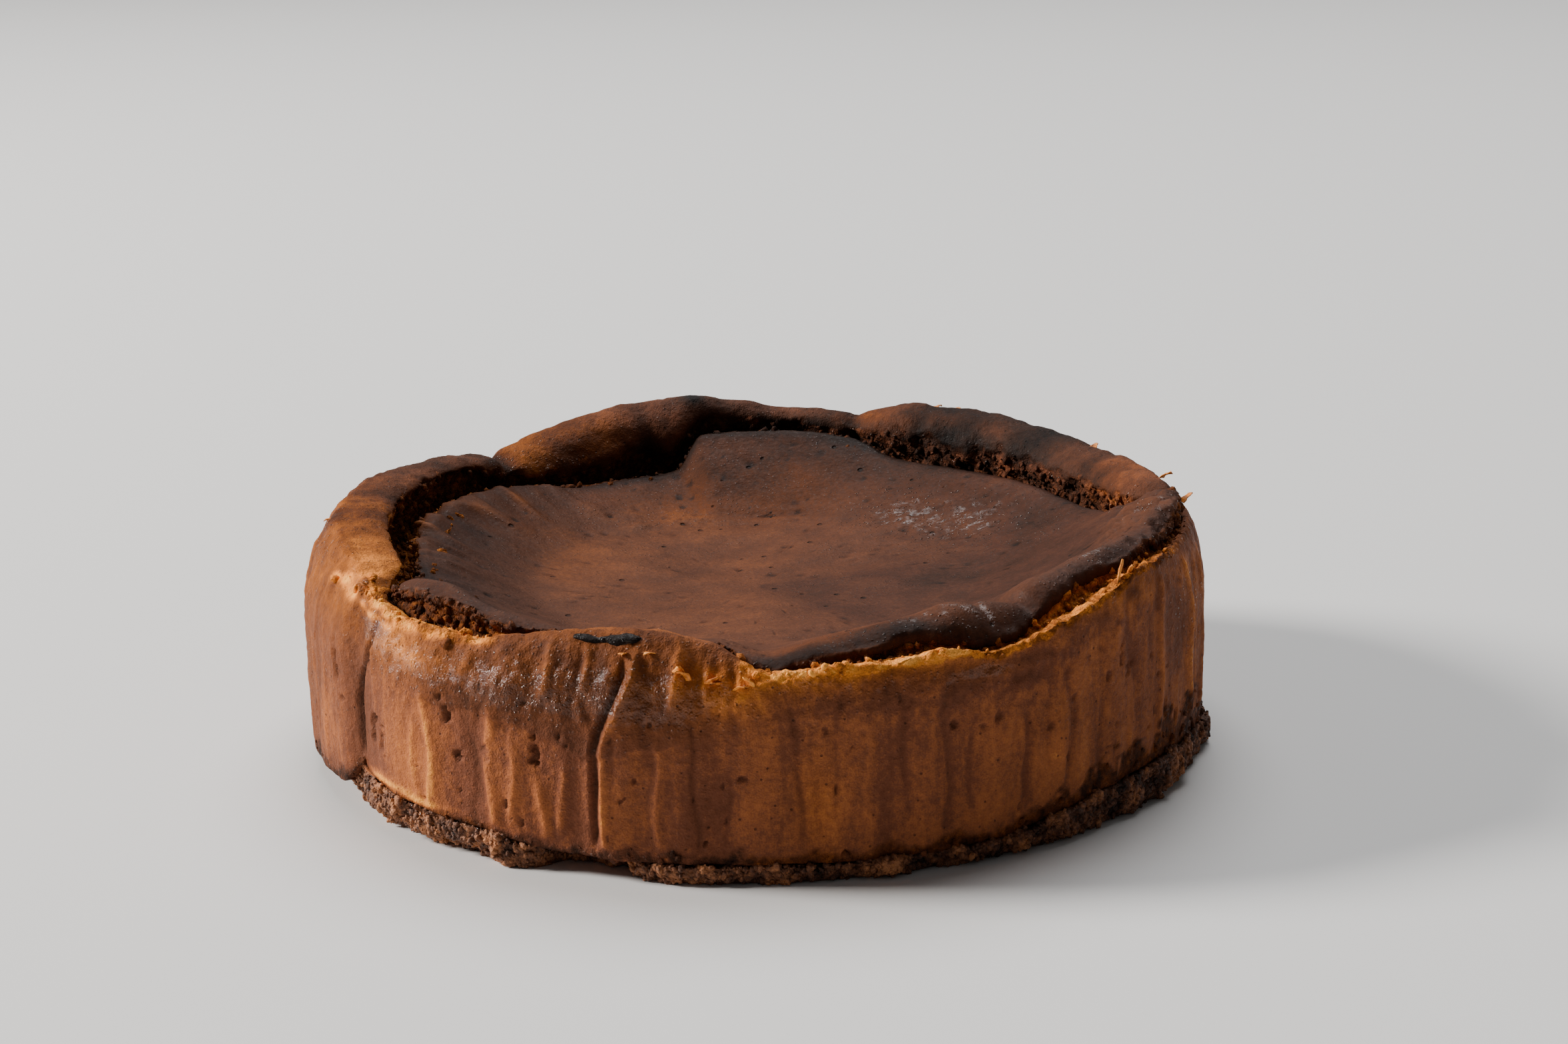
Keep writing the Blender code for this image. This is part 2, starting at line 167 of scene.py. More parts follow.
def lumps(points, size, seed):
    """Smooth random relief between -1 and 1, with lumps of a size, read at points in space."""
    table = np.random.RandomState(seed).uniform(-1.0, 1.0, (32, 32, 32))
    cell = points / size + 0.37 * seed
    low = np.floor(cell).astype(int)
    share = cell - low
    share = share * share * (3.0 - 2.0 * share)
    total = 0.0
    for corner in np.ndindex(2, 2, 2):
        weight = np.prod(np.where(corner, share, 1.0 - share), axis=-1)
        x, y, z = np.moveaxis((low + corner) % 32, -1, 0)
        total = total + weight * table[x, y, z]
    return total


def layered(points, *layers):
    """Sum of random reliefs, each given as its height, the size of its lumps in mm and its seed."""
    return sum(height * lumps(points, size * MM, seed) for height, size, seed in layers)


def ease(value, low, high):
    """Smooth step from 0 at low to 1 at high, or down from 1 where high is the lower."""
    share = np.clip((value - low) / (high - low), 0.0, 1.0)
    return share * share * (3.0 - 2.0 * share)


def turned(angles, radius, height):
    """Points at radii and heights round the cake."""
    turn = np.radians(angles)
    radius, height, turn = np.broadcast_arrays(radius, height, turn)
    return np.stack((radius * np.sin(turn), -radius * np.cos(turn), height), axis=-1)


def set_round(angle, out, side, up):
    """Points at distances outwards, sideways and up, turned to one angle round the cake."""
    turn = math.radians(angle)
    return np.stack((out * math.sin(turn) + side * math.cos(turn),
                     -out * math.cos(turn) + side * math.sin(turn), up), axis=-1)


def outward(grid):
    """Unit normals of a grid of rings, which run up the outside of a body."""
    across = np.roll(grid, -1, axis=1) - np.roll(grid, 1, axis=1)
    normal = np.cross(across, np.gradient(grid, axis=0))
    return normal / np.maximum(np.linalg.norm(normal, axis=-1, keepdims=True), 1e-12)


def keep_in_box(points):
    """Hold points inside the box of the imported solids."""
    low, high = (np.array(corner) for corner in cad_box)
    return np.clip(points, low, high)


def closed_body(name, grid, low_pole, high_pole, layers):
    """Skin a grid of rings, which run from one pole to the other, as one closed mesh."""
    rings, count = grid.shape[:2]
    column = np.arange(count)
    after = (column + 1) % count
    start = 1 + count * np.arange(rings - 1)[:, None]
    quads = np.stack((start + column, start + after, start + count + after,
                      start + count + column), axis=-1).reshape(-1, 4)
    top = 1 + rings * count
    last = top - count
    fans = [(0, 1 + b, 1 + a) for a, b in zip(column.tolist(), after.tolist())]
    fans += [(last + a, last + b, top) for a, b in zip(column.tolist(), after.tolist())]
    points = np.concatenate(([low_pole], grid.reshape(-1, 3), [high_pole]))
    mesh = bpy.data.meshes.new(name)
    mesh.from_pydata(keep_in_box(points).tolist(), [], quads.tolist() + fans)
    for layer, values in layers.items():
        values = np.broadcast_to(values, (rings, count)).reshape(-1)
        values = np.concatenate((values[:1], values, values[-1:])).astype(np.float32)
        mesh.attributes.new(layer, "FLOAT", "POINT").data.foreach_set("value", values)
    mesh.shade_smooth()
    body = bpy.data.objects.new(name, mesh)
    bpy.context.scene.collection.objects.link(body)
    return body


class Wire:
    """An output of a node. Sums of wires and numbers add Math nodes to its graph."""

    def __init__(self, graph, socket):
        self.graph = graph
        self.socket = socket

    def math(self, operation, *others):
        inputs = dict(enumerate((self,) + others))
        return self.graph.node("ShaderNodeMath", {"operation": operation}, inputs)

    def __add__(self, other):
        return self.math("ADD", other)

    def __sub__(self, other):
        return self.math("SUBTRACT", other)

    def __mul__(self, other):
        return self.math("MULTIPLY", other)

    def __rsub__(self, other):
        return (self * -1.0).math("ADD", other)

    __radd__ = __add__
    __rmul__ = __mul__

    def clear(self):
        """Held between 0 and 1."""
        return self.graph.node("ShaderNodeClamp", {}, {0: self})

    def eased(self, low, high):
        """Smooth step from 0 at low to 1 at high."""
        settings = {"interpolation_type": "SMOOTHSTEP"}
        return self.graph.node("ShaderNodeMapRange", settings, {0: self, 1: low, 2: high})


class Graph:
    """A node tree that is drawn up one node at a time."""

    def __init__(self, tree):
        self.tree = tree

    def node(self, kind, settings, inputs, output=0):
        """Add a node, with its settings first and then its inputs, and give one output."""
        made = self.tree.nodes.new(kind)
        for key, value in settings.items():
            if key == "stops":
                ramp = made.color_ramp.elements
                for position, _ in value[2:]:
                    ramp.new(position)
                for element, (position, colour) in zip(ramp, value):
                    element.position = position
                    element.color = (*colour, 1.0)
            else:
                setattr(made, key, value)
        for key, value in inputs.items():
            if isinstance(value, Wire):
                self.tree.links.new(value.socket, made.inputs[key])
            else:
                made.inputs[key].default_value = value
        return Wire(self, made.outputs[output]) if made.outputs else made


BROWNING = (                 # custard as it browns, from pale and torn open to burnt black
    (0.00, (1.000, 0.500, 0.135)),
    (0.14, (0.840, 0.340, 0.060)),
    (0.30, (0.420, 0.132, 0.042)),
    (0.46, (0.175, 0.057, 0.028)),
    (0.62, (0.086, 0.030, 0.015)),
    (0.80, (0.034, 0.014, 0.008)),
    (1.00, (0.008, 0.005, 0.004)),
)
HONEYED = (                  # the same, where it is moist and lets the light through
    (0.00, (1.000, 0.420, 0.080)),
    (0.20, (0.780, 0.250, 0.038)),
    (0.40, (0.300, 0.085, 0.011)),
    (0.60, (0.115, 0.030, 0.006)),
    (0.80, (0.036, 0.011, 0.004)),
    (1.00, (0.008, 0.004, 0.003)),
)
BISCUIT = (                  # chocolate biscuit crumb, from its lightest grains to its burnt edge
    (0.00, (0.480, 0.190, 0.075)),
    (0.30, (0.250, 0.096, 0.042)),
    (0.60, (0.115, 0.045, 0.023)),
    (1.00, (0.022, 0.011, 0.008)),
)
STREAK_SQUASH = 0.14         # streaks run up the wall, about seven times as long as wide
CLUMP_SIZE = 1.6 * MM        # of the lumps that crumb clings together in
CLUMP_TONE = 0.80
CRINKLE_SIZE = 1.5 * MM
PORE_CELLS = 0.14            # a pore is about a seventh of the cell that it stands in
PORE_RIM = (0.105, 0.049)    # from a pore's edge to its floor, in cells
# Pores are darker by this: painted shade in their hollows.
PORE_SHADE_TONE = 0.16
WET_ROUGHNESS = 0.11         # of the film of oil, against the dry surface's own
WET_GLOSS = 0.35
DROP_CELL = 1.3 * MM         # how far apart the beads of oil stand
DROP_DEPTH = 0.20 * MM
DROP_RIM = (0.32, 0.10)      # from a bead's edge to its top, in cells
DAMP = (-0.15, 0.45)         # the oil layer's values from where beads stand to where all do
OILED = (0.50, 0.80)         # and from where a film begins to where it closes
OIL_RIPPLE = 0.50 * MM
# Sizes of the random patches in the browning, in the wetness, and in the surface.
STREAK_SIZE, FINE_STREAK_SIZE, MOTTLE_SIZE = 3.0 * MM, 1.0 * MM, 8.0 * MM
DAMP_SIZE, OIL_SIZE = 7.0 * MM, 2.6 * MM
ROUGH_SIZE, RIPPLE_SIZE = 1.1 * MM, 1.8 * MM


def baked(name, browning=BROWNING, streak=0.0, mottle=0.0, grain=0.0, grain_size=0.5 * MM,
          grain_depth=0.1 * MM, crumb_depth=0.0, pore_size=0.3 * MM, dry=0.5, gloss=0.1):
    """A baked finish: each surface's layers say how browned, oily, moist and crumbly it is.

    Streak, mottle and grain are how far each makes the browning uneven. Dry is the roughness
    and gloss the specular level where there is no oil.
    """
    material = bpy.data.materials.new(name)
    material.use_nodes = True
    material.node_tree.nodes.clear()
    graph = Graph(material.node_tree)
    place = graph.node("ShaderNodeTexCoord", {}, {}, "Object")

    def layer(attribute):
        return graph.node("ShaderNodeAttribute", {"attribute_name": attribute}, {}, "Fac")

    def noise(size, detail, vector=place):
        inputs = {"Vector": vector, "Scale": 1.0 / size, "Detail": detail}
        return graph.node("ShaderNodeTexNoise", {}, inputs) - 0.5

    upright = graph.node("ShaderNodeMapping", {}, {
        "Vector": place, "Scale": (1.0, 1.0, STREAK_SQUASH)})
    crumble = layer("crumble").clear()
    fine = noise(grain_size, 3.0)
    clumps = noise(CLUMP_SIZE, 5.0)
    crinkle = noise(CRINKLE_SIZE, 3.0)
    cells = graph.node("ShaderNodeTexVoronoi", {}, {"Vector": place, "Scale": PORE_CELLS / pore_size})
    pores = cells.eased(*PORE_RIM) * (1.0 - crumble)
    beads = graph.node("ShaderNodeTexVoronoi", {}, {"Vector": place, "Scale": 1.0 / DROP_CELL})
    damp = (layer("oil") + crumble * 0.35 + noise(DAMP_SIZE, 2.0) * 1.2).eased(*DAMP)
    drops = beads.eased(*DROP_RIM) * damp
    tone = layer("browning") + streak * noise(STREAK_SIZE, 4.0, upright)
    tone = tone + 0.6 * streak * noise(FINE_STREAK_SIZE, 2.0, upright)
    tone = tone + mottle * noise(MOTTLE_SIZE, 5.0) + grain * fine - grain * crinkle
    # Crumb clumps vary at random, and the pores are darker as painted shade.
    tone = tone + crumble * clumps * CLUMP_TONE + pores * PORE_SHADE_TONE
    dull = graph.node("ShaderNodeValToRGB", {"stops": browning}, {0: tone.clear()})
    moist = graph.node("ShaderNodeValToRGB", {"stops": HONEYED}, {0: tone.clear()})
    colour = graph.node("ShaderNodeMix", {"data_type": "RGBA"}, {
        0: layer("honeyed").clear(), 6: dull, 7: moist}, 2)
    oil = (layer("oil") + noise(OIL_SIZE, 4.0) * 1.3).eased(*OILED)
    wet = (oil * (1.0 - crumble) + drops).clear()
    rough = dry + noise(ROUGH_SIZE, 2.0) * 0.3 + crumble * 0.10
    height = fine * grain_depth + crinkle * grain_depth * 2.0 - pores * pore_size * 0.4
    height = height + crumble * clumps * crumb_depth + drops * DROP_DEPTH
    height = height + oil * noise(RIPPLE_SIZE, 3.0) * OIL_RIPPLE
    bump = graph.node("ShaderNodeBump", {}, {"Height": height, "Distance": 1.0,
                                              "Strength": 1.0}, "Normal")

    def surface(roughness, specular):
        return graph.node("ShaderNodeBsdfPrincipled", {}, {
            "Base Color": colour, "Roughness": roughness, "Normal": bump, "IOR": 1.45,
            "Specular IOR Level": specular})

    shader = graph.node("ShaderNodeMixShader", {}, {
        0: wet, 1: surface(rough.clear(), gloss), 2: surface(WET_ROUGHNESS, WET_GLOSS)})
    graph.node("ShaderNodeOutputMaterial", {}, {"Surface": shader})
    return material


def broken_base(angles):
    """Table of the crumb base with its broken, uneven edge."""
    base = read_table(BASE_FIELDS, BASE_STRETCHES, angles, MM)
    ragged = np.where(base["lap"] > 0.0, 0.0, crags(angles, 17, BASE_RAGGED, finest=61))
    base["outer_r"] = base["outer_r"] + ragged
    base["under_r"] = base["under_r"] + 0.5 * ragged
    return base


def base_surface(base, radius):
    """Height of the crumb layer's top at a radius, level in the middle and ramped to the wall."""
    ramp = (radius - BASE_FLAT_RADIUS) / (base["outer_r"] - BASE_FLAT_RADIUS)
    return BASE_MIDDLE_TOP + (base["top"] - BASE_MIDDLE_TOP) * np.clip(ramp, 0.0, None)


angles = column_angles(BASE_COLUMNS)
base = broken_base(angles)
rings = [(0.5 * BASE_FLAT_RADIUS, 0.0), (base["under_r"] - 3.0 * MM, 0.0),
         (base["under_r"] - BASE_UNDER_ROUND, 0.0)]
for share in np.linspace(0.0, 1.0, BASE_EDGE_RINGS):
    swell = base["outer_r"] - base["under_r"]
    rings.append((base["under_r"] + swell * ease(share, 0.0, 0.5),
                  BASE_UNDER_LIFT + (base["top"] - BASE_UNDER_LIFT) * share))
for share in np.linspace(0.0, 1.0, BASE_LEDGE_RINGS)[1:]:
    radius = base["outer_r"] + (BASE_FLAT_RADIUS - base["outer_r"]) * share
    rings.append((radius, base_surface(base, radius)))
rings.append((0.5 * BASE_FLAT_RADIUS, BASE_MIDDLE_TOP))
grid = np.array([turned(angles, *ring) for ring in rings])
relief = MM * layered(grid, *BASE_LUMPS)
relief[:2] = 0.0
relief[2] *= 0.5
relief[BASE_EDGE_RINGS + 6:] = 0.0
normals = outward(grid)
normals[:3, :, 2] = 0.0
grid = grid + normals * relief[..., None]
grid[..., 2] = np.maximum(grid[..., 2], 0.0)
# Random browning, with painted shade in the hollows and painted light on the lumps.
tone = BASE_TONE + layered(grid, *BASE_TONES) - BASE_HOLLOW_SHADE * relief / MM
# Paler at the front left: partly custard crumb where it crumbled, partly painted light where it is
# lit.
tone = tone - 0.18 * bell(angles, -36.0, 44.0)
# Browner away from the front, and a little at the front right.
tone = tone + 0.12 * (1.0 - bell(angles, 0.0, 60.0)) + 0.04 * bell(angles, 50.0, 25.0)
ring = np.arange(len(rings))[:, None]
edge = (ring > 2) & (ring < BASE_EDGE_RINGS + 3)
pressed_crumb = closed_body("pressed_crumb", grid, (0.0, 0.0, 0.0), (0.0, 0.0, BASE_MIDDLE_TOP),
                            {"browning": tone, "oil": 0.25, "crumble": 1.0, "grains": edge})
crumb_finish = baked("pressed_crumb", BISCUIT, mottle=0.5, grain=0.7, grain_size=0.8 * MM,
                     grain_depth=0.25 * MM, crumb_depth=1.2 * MM, dry=0.50, gloss=0.34)
pressed_crumb.data.materials.append(crumb_finish)
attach(pressed_crumb, "root")
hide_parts("crumb_base")

# ---- Loose biscuit crumbs --------------------------------------------------------------------
# Grains of the same crushed biscuit that cling to the broken edge of the base. They are scattered
# over it by a seeded rule.

BASE_GRAINS = 1.1e6          # grains to the square metre
BASE_GRAIN_SIZES = (0.20 * MM, 0.95 * MM)
GRAIN_STRETCH = 1.6          # length to width
KNOBS_PER_METRE = 1300.0     # how fine the knobs on each grain are


def scatter(name, surface, density, seed, smallest, largest, finish):
    """Scatter lumpy grains over a surface, as dense as its own layer called grains says."""
    host = bpy.data.objects.new(name, surface.data.copy())
    bpy.context.scene.collection.objects.link(host)
    tree = bpy.data.node_groups.new(name, "GeometryNodeTree")
    graph = Graph(tree)
    tree.interface.new_socket("Surface", in_out="INPUT", socket_type="NodeSocketGeometry")
    sizes = {"Density": density, "Smallest": smallest, "Largest": largest,
             "Stretch": GRAIN_STRETCH}
    for label in sizes:
        tree.interface.new_socket(label, in_out="INPUT", socket_type="NodeSocketFloat")
    tree.interface.new_socket("Grains", in_out="OUTPUT", socket_type="NodeSocketGeometry")
    given = {socket.name: Wire(graph, socket)
             for socket in tree.nodes.new("NodeGroupInput").outputs if socket.name}
    share = graph.node("FunctionNodeRandomValue", {}, {2: 0.0, 3: 1.0, "Seed": seed + 1}, 1)
    size = given["Smallest"] + (given["Largest"] - given["Smallest"]) * share * share * share
    turn = graph.node("FunctionNodeRandomValue", {"data_type": "FLOAT_VECTOR"},
                      {1: (2.0 * math.pi,) * 3, "Seed": seed + 2})
    thickly = graph.node("GeometryNodeInputNamedAttribute", {}, {"Name": "grains"})
    points = graph.node("GeometryNodeDistributePointsOnFaces", {}, {
        "Mesh": given["Surface"], "Density": given["Density"] * thickly, "Seed": seed})
    grain = graph.node("GeometryNodeMeshIcoSphere", {}, {"Subdivisions": 1})
    wide = graph.node("ShaderNodeCombineXYZ", {}, {0: size * given["Stretch"], 1: size, 2: size})
    grains = graph.node("GeometryNodeInstanceOnPoints", {}, {
        "Points": points, "Instance": grain, "Rotation": turn, "Scale": wide})
    grains = graph.node("GeometryNodeRealizeInstances", {}, {"Geometry": grains})
    place = graph.node("GeometryNodeInputPosition", {}, {})
    bumps = graph.node("ShaderNodeTexNoise", {}, {
        "Vector": place, "Scale": KNOBS_PER_METRE, "Detail": 1.0}, "Color")
    bumps = graph.node("ShaderNodeVectorMath", {"operation": "SUBTRACT"}, {0: bumps, 1: (0.5,) * 3})
    bumps = graph.node("ShaderNodeVectorMath", {"operation": "SCALE"},
                       {0: bumps, "Scale": given["Largest"]})
    grains = graph.node("GeometryNodeSetPosition", {}, {"Geometry": grains, "Offset": bumps})
    grains = graph.node("GeometryNodeSetMaterial", {}, {"Geometry": grains, "Material": finish})
    tree.links.new(grains.socket, tree.nodes.new("NodeGroupOutput").inputs["Grains"])
    modifier = host.modifiers.new(name, "NODES")
    modifier.node_group = tree
    for socket in tree.interface.items_tree:
        if socket.name in sizes:
            modifier[socket.identifier] = sizes[socket.name]
    mesh = bpy.data.meshes.new_from_object(
        host.evaluated_get(bpy.context.evaluated_depsgraph_get()))
    host.modifiers.clear()
    host.data = mesh
    mesh.name = name
    points = np.zeros(3 * len(mesh.vertices), np.float32)
    mesh.vertices.foreach_get("co", points)
    mesh.vertices.foreach_set("co", keep_in_box(points.reshape(-1, 3)).ravel())
    mesh.shade_smooth()
    return host


loose_crumbs = scatter("loose_crumbs", pressed_crumb, BASE_GRAINS, 41, *BASE_GRAIN_SIZES,
                       crumb_finish)
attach(loose_crumbs, "root")

# ---- Baked custard ---------------------------------------------------------------------------
# The cake itself: cream cheese custard that browned against the paper of its tin and puffed up
# into lobes round the rim, which then cracked away from the sinking top. The paper left upright
# folds and pits in the wall, and where it tore the skin away the custard is orange and yellow.

WALL_RADIUS = 0.1122
STRAIGHT_WALL = 0.038
FLOOR_RADIUS = 0.055
FLOOR_HEIGHT = 0.0395
CENTRE_SINK = 0.0022
NODE_GAP = 0.0003
WALL_FOOT = 0.0020
FOOT_TUCK = 0.0006
FOOT_TUCK_POWER = 6
FOOT_BEVEL = 0.2
SHOULDER_POWER = 1.6
SHOULDER_ROOT = 0.6
LIP_CURL = 55.0
LIP_THICKNESS = 0.0024
FULL_OVERHANG = 0.0050
CRAG_SIZE = 0.0012
TORN_EDGE = 0.0005
CRACK_UNDERCUT = 0.30
CRACK_WAIST = 0.55
CRACK_FLOOR_WIDTH = 0.35
ROUGH_DEPTH = 0.008              # cracks shallower than this have calmer walls
UNDER_SKIN = 1.8 * MM            # from the skin's top down to the custard below it
TORN_OVERHANG = (3.0 * MM, 4.5 * MM)     # of the lip, from where the rim's edge is torn
CREST_BAND = (6.0 * MM, 0.6 * MM)        # below the crest, from the wall's tone to the crest's
SHOULDER_BAND = 8.0 * MM
CRUST_END = (0.86, 0.94)         # how far down a lobe's inner face the crust gives way to crumb
TORN_BAND = 1.2                  # width of the torn crumb along an open edge, in millimetres
BARE_CRUMB = (3.0, 0.6)          # how strongly a pale patch has to be torn to show crumb
UNDER_SKIN_SHARES = (0.6, 0.25, 0.0)     # rings of the custard below the skin's slope
# How much browner: to the millimetre of folds, waves and torn crumb, as painted shade in their
# hollows and painted light on their ridges, and of the junctions of lobes, as painted shade in the
# fold between them; then in pits, as painted shade, at the step's rim, above the step and where it
# is oily.
FOLD_SHADE_TONE, WAVE_SHADE_TONE, TORN_SHADE_TONE, JUNCTION_SHADE_TONE = 0.15, 0.05, 0.09, 0.12
PIT_SHADE_TONE, STEP_RIM_TONE, STEP_TONE, OIL_TONE = 0.11, 0.05, 0.09, 0.08
# Tone of the dark foot: burnt crumb, and painted shade where the wall meets the base.
SCORCHED_AND_SHADED_TONE = 0.68
SLOPE_POWER = 1.35
SLOPE_BULGE = 0.35

CUSTARD_COLUMNS = 740
CRACK_FILL = 0.65                # the cracks are part filled with loose crumb
UNDERSIDE_RINGS = 3
WALL_RINGS = 58
SHOULDER_RINGS = 30
LOBE_RINGS = 18
CRACK_STEPS = (4, 4, 3, 4)       # rings on each run of the crack's walls and floor

# Stretches of the rim, going round from the back: crest, foot of its inner face, depth of the
# crack, and the lip of the sunken skin, in millimetres.
STRETCH_FIELDS = ("angle", "crest_r", "crest_z", "foot_r", "foot_z", "crack", "lip_r", "lip_z",
                  "overhang")
STRETCHES = (
    (-172, 104, 64.5, 97.5, 58, 6, 92.5, 55.5, 2),
    (-166, 104, 64.6, 92, 50.5, 6, 85, 47.5, 2),
    (-146, 103.5, 59.5, 91.5, 49.5, 5, 84, 47, 2),
    (-137, 103, 56.2, 92.5, 50.5, 6, 87, 49, 2),
    (-124, 101.5, 59.5, 93, 56.5, 11, 86.5, 51, 2),
    (-105, 102, 61, 91, 57.5, 13, 83.5, 51.5, 1.5),
    (-84, 102.5, 60.3, 90.5, 57.5, 13, 82, 51.5, 1.5),
    (-66, 103, 57.5, 92.5, 55.5, 11, 85.5, 52, 2),
    (-54, 108, 53.5, 104.5, 51.5, 3, 97, 56.5, 5),
    (-46, 109, 51.5, 105, 50, 1.5, 98, 58, 5),
    (-36, 108, 51.5, 104, 50, 1.5, 98, 55.2, 4.5),
    (-27, 104, 53.8, 98.5, 51, 2, 95, 52, 2),
    (-15, 102.5, 55.6, 95, 52, 3.5, 90, 50.5, 1.5),
    (-6, 103.5, 53, 97, 50, 3.5, 92, 50.5, 1.5),
    (1, 108.5, 48.2, 105.5, 46.5, 3, 97.5, 48.8, 5.5),
    (8, 109.8, 48.5, 106.5, 47.5, 1.5, 98, 51.7, 6),
    (19, 110, 50, 107, 49, 1, 98, 54.8, 6.5),
    (28, 111, 48.6, 109.5, 48, 0.8, 98, 56, 9.8),
    (34, 111, 50, 108, 48.8, 1.2, 98, 54.5, 8),
    (42, 111, 53.6, 107.5, 52.5, 1.5, 98, 58.3, 6),
    (53, 110.5, 57.6, 107, 56, 2, 99, 60.3, 5),
    (68, 108.5, 57.2, 107, 56.6, 1, 101.5, 60.8, 4),
    (86, 107.2, 57.2, 106.2, 57, 0.6, 102.2, 61.5, 3.5),
    (97, 103.5, 60.5, 94.5, 55, 5, 90.5, 51, 1.5),
    (115, 103, 60, 92, 53, 7, 87, 48, 1.5),
    (135, 103, 62.5, 92, 54, 8, 87, 48, 1.5),
    (153, 103.5, 63.2, 93, 55, 6, 88, 50, 2),
    (163, 104, 59.8, 96.5, 55.5, 4, 92.5, 54.5, 1.5),
    (176, 104, 61.2, 98.5, 57.5, 5, 93.5, 56, 1.5),
)

# Broad folds of the paper, as in the solid: angle, sideways drift with height, half width in
# degrees, and size in millimetres.
PLEATS = (
    (-57.5, 0, 2.6, -2.2),
    (-47, 1, 3.2, 0.8),
    (-41, 0, 2.6, 0.7),
    (-32.5, 0, 2.6, 0.7),
    (-21.5, 1, 2.6, -0.8),
    (-17.8, 1.5, 2.4, 1),
    (3.5, 0, 2.6, -0.6),
    (16, -1, 2.8, -0.5),
    (32, 0, 2.8, -0.6),
    (49, 0, 2.8, -0.6),
    (63, 1, 2.6, 0.6),
)
PAPER_WAVES = ((23, 0.16, 0.4), (37, 0.22, 1.9), (52, 0.14, 3.1))    # count, size, phase
FOLDS_START = 0.15
FOLDS_FADE = 1.30
FOLDS_END = 1.55

# Sharp creases: angle low down, angle at the top, lowest and highest point, half width in
# degrees, and how far out. Their lean comes in between LEAN_START and LEAN_END.
CREASES = (
    (-57.6, -53, 14, 52, 0.55, -1.5),
    (-19.4, -15.8, 6, 50, 0.5, -1.19),
    (-18.2, -14.5, 6, 51, 0.55, 0.94),
    (-41.7, -42.5, 8, 38, 0.9, 0.85),
    (-32.6, -32, 7, 38, 0.9, 0.85),
    (-29.6, -29, 8, 30, 0.6, 0.51),
    (-26, -26.5, 6, 22, 0.8, 0.68),
    (-23.4, -22, 8, 26, 0.7, 0.59),
    (-44.6, -45, 8, 30, 0.7, 0.42),
    (-36.8, -36, 40, 50, 0.8, 0.51),
    (-27.5, -25, 38, 53, 0.8, 0.77),
    (-22.5, -20.5, 38, 53, 0.7, 0.77),
    (-10.8, -9.4, 38, 52, 0.9, 1.02),
    (-6.5, -5.8, 38, 50, 0.6, 0.68),
    (-3.5, -2.6, 38, 50, 0.6, 0.59),
    (-11.8, -14.5, 6, 34, 0.6, 0.42),
    (-7.6, -9.6, 6, 38, 0.35, -0.59),
    (-4, -4.8, 6, 26, 0.45, -0.34),
    (4.2, 2, 8, 42, 0.4, -0.45),
    (8.2, 9.4, 14, 44, 0.6, -0.51),
    (16.4, 15.6, 10, 42, 0.6, -0.51),
    (21.6, 21, 6, 40, 0.8, -0.59),
    (24.4, 24, 10, 32, 0.5, -0.34),
    (32.2, 31.6, 8, 34, 0.8, -0.59),
    (38.5, 38, 8, 42, 0.6, -0.42),
    (44, 44.6, 10, 46, 0.5, -0.34),
    (57, 57.5, 12, 54, 0.8, 0.68),
    (66.5, 67, 12, 54, 0.9, 0.77),
    (71, 71.5, 10, 54, 0.7, 0.59),
    (75.5, 76, 10, 52, 0.7, 0.68),
)
LEAN_START = 0.028
LEAN_END = 0.050
RANDOM_CREASES = 130
RANDOM_CREASE_SEED = 51
CREASE_WANDER = 0.35             # degrees to either side
SEEN_FROM_FRONT = 70.0           # the random marks are smaller within this angle of the front

# Pits: angle, height, width and height of the pit, depth, all but the angle in millimetres.
PITS = (
    (-26.6, 28.1, 1.7, 7, 1.3),
    (-38.8, 34, 1.1, 3.4, 0.9),
    (-37.4, 25, 1.4, 3, 0.9),
    (-53.4, 23.5, 1.5, 6.5, 0.9),
    (-51, 22, 1.5, 5, 0.8),
    (-52.2, 26.8, 2.6, 1.8, 0.7),
    (-63, 33, 2.6, 8, 0.7),
    (-15.9, 19.5, 2.3, 1.2, 0.8),
    (-54, 39, 0.9, 3.2, 0.7),
    (-56.5, 36, 0.9, 4, 0.8),
    (-33, 27, 1.6, 3.4, 0.5),
    (-2.1, 25.1, 1.9, 0.8, 0.6),
    (-6.1, 20.2, 1.9, 0.8, 0.6),
    (-6.6, 9.8, 0.9, 0.9, 1),
    (22.2, 33.4, 2.2, 1.6, 0.7),
    (28.1, 33.6, 1.2, 3.4, 0.6),
    (26.4, 32, 2.6, 0.8, 0.5),
    (35.8, 28.3, 1.2, 1.4, 0.6),
    (45.5, 37, 0.8, 3.6, 0.8),
    (48, 39, 0.8, 3, 0.7),
    (49.6, 36, 0.8, 2.4, 0.7),
    (61.5, 18, 1, 5, 0.7),
    (58.5, 22, 0.8, 4, 0.6),
    (9.6, 9.4, 1.4, 0.7, 0.7),
)
RANDOM_PITS = 150
RANDOM_PIT_SEED = 52
PIT_COMB = 0.45 * MM         # honeycomb left inside the pits

# Random relief, each with its height and size in millimetres and its seed: of the lobes, of the
# wall's shoulder, of torn custard, of oily blisters, of the wall's skin, and of the outlines of
# pits, torn edge, crust, step and the dark foot, which is scorched and painted shade.
WRINKLES = ((0.50, 7.0, 62), (0.30, 3.0, 63), (0.14, 1.3, 64))
SHOULDER_RELIEF = ((0.16, 1.3, 102), (0.22, 2.8, 103))
TORN_RELIEF = ((1.2, 3.6, 66), (0.8, 1.7, 67), (0.35, 0.8, 68))
PIT_RAGGED = ((1.1, 1.5, 53), (0.6, 0.8, 46))
EDGE_TEETH = ((0.50, 2.2, 61), (0.25, 1.0, 62))
CRUST_JAGS = ((0.20, 3.0, 55), (0.10, 1.2, 90))
TORN_BAND_RELIEF = (0.9, 2.4, 54)
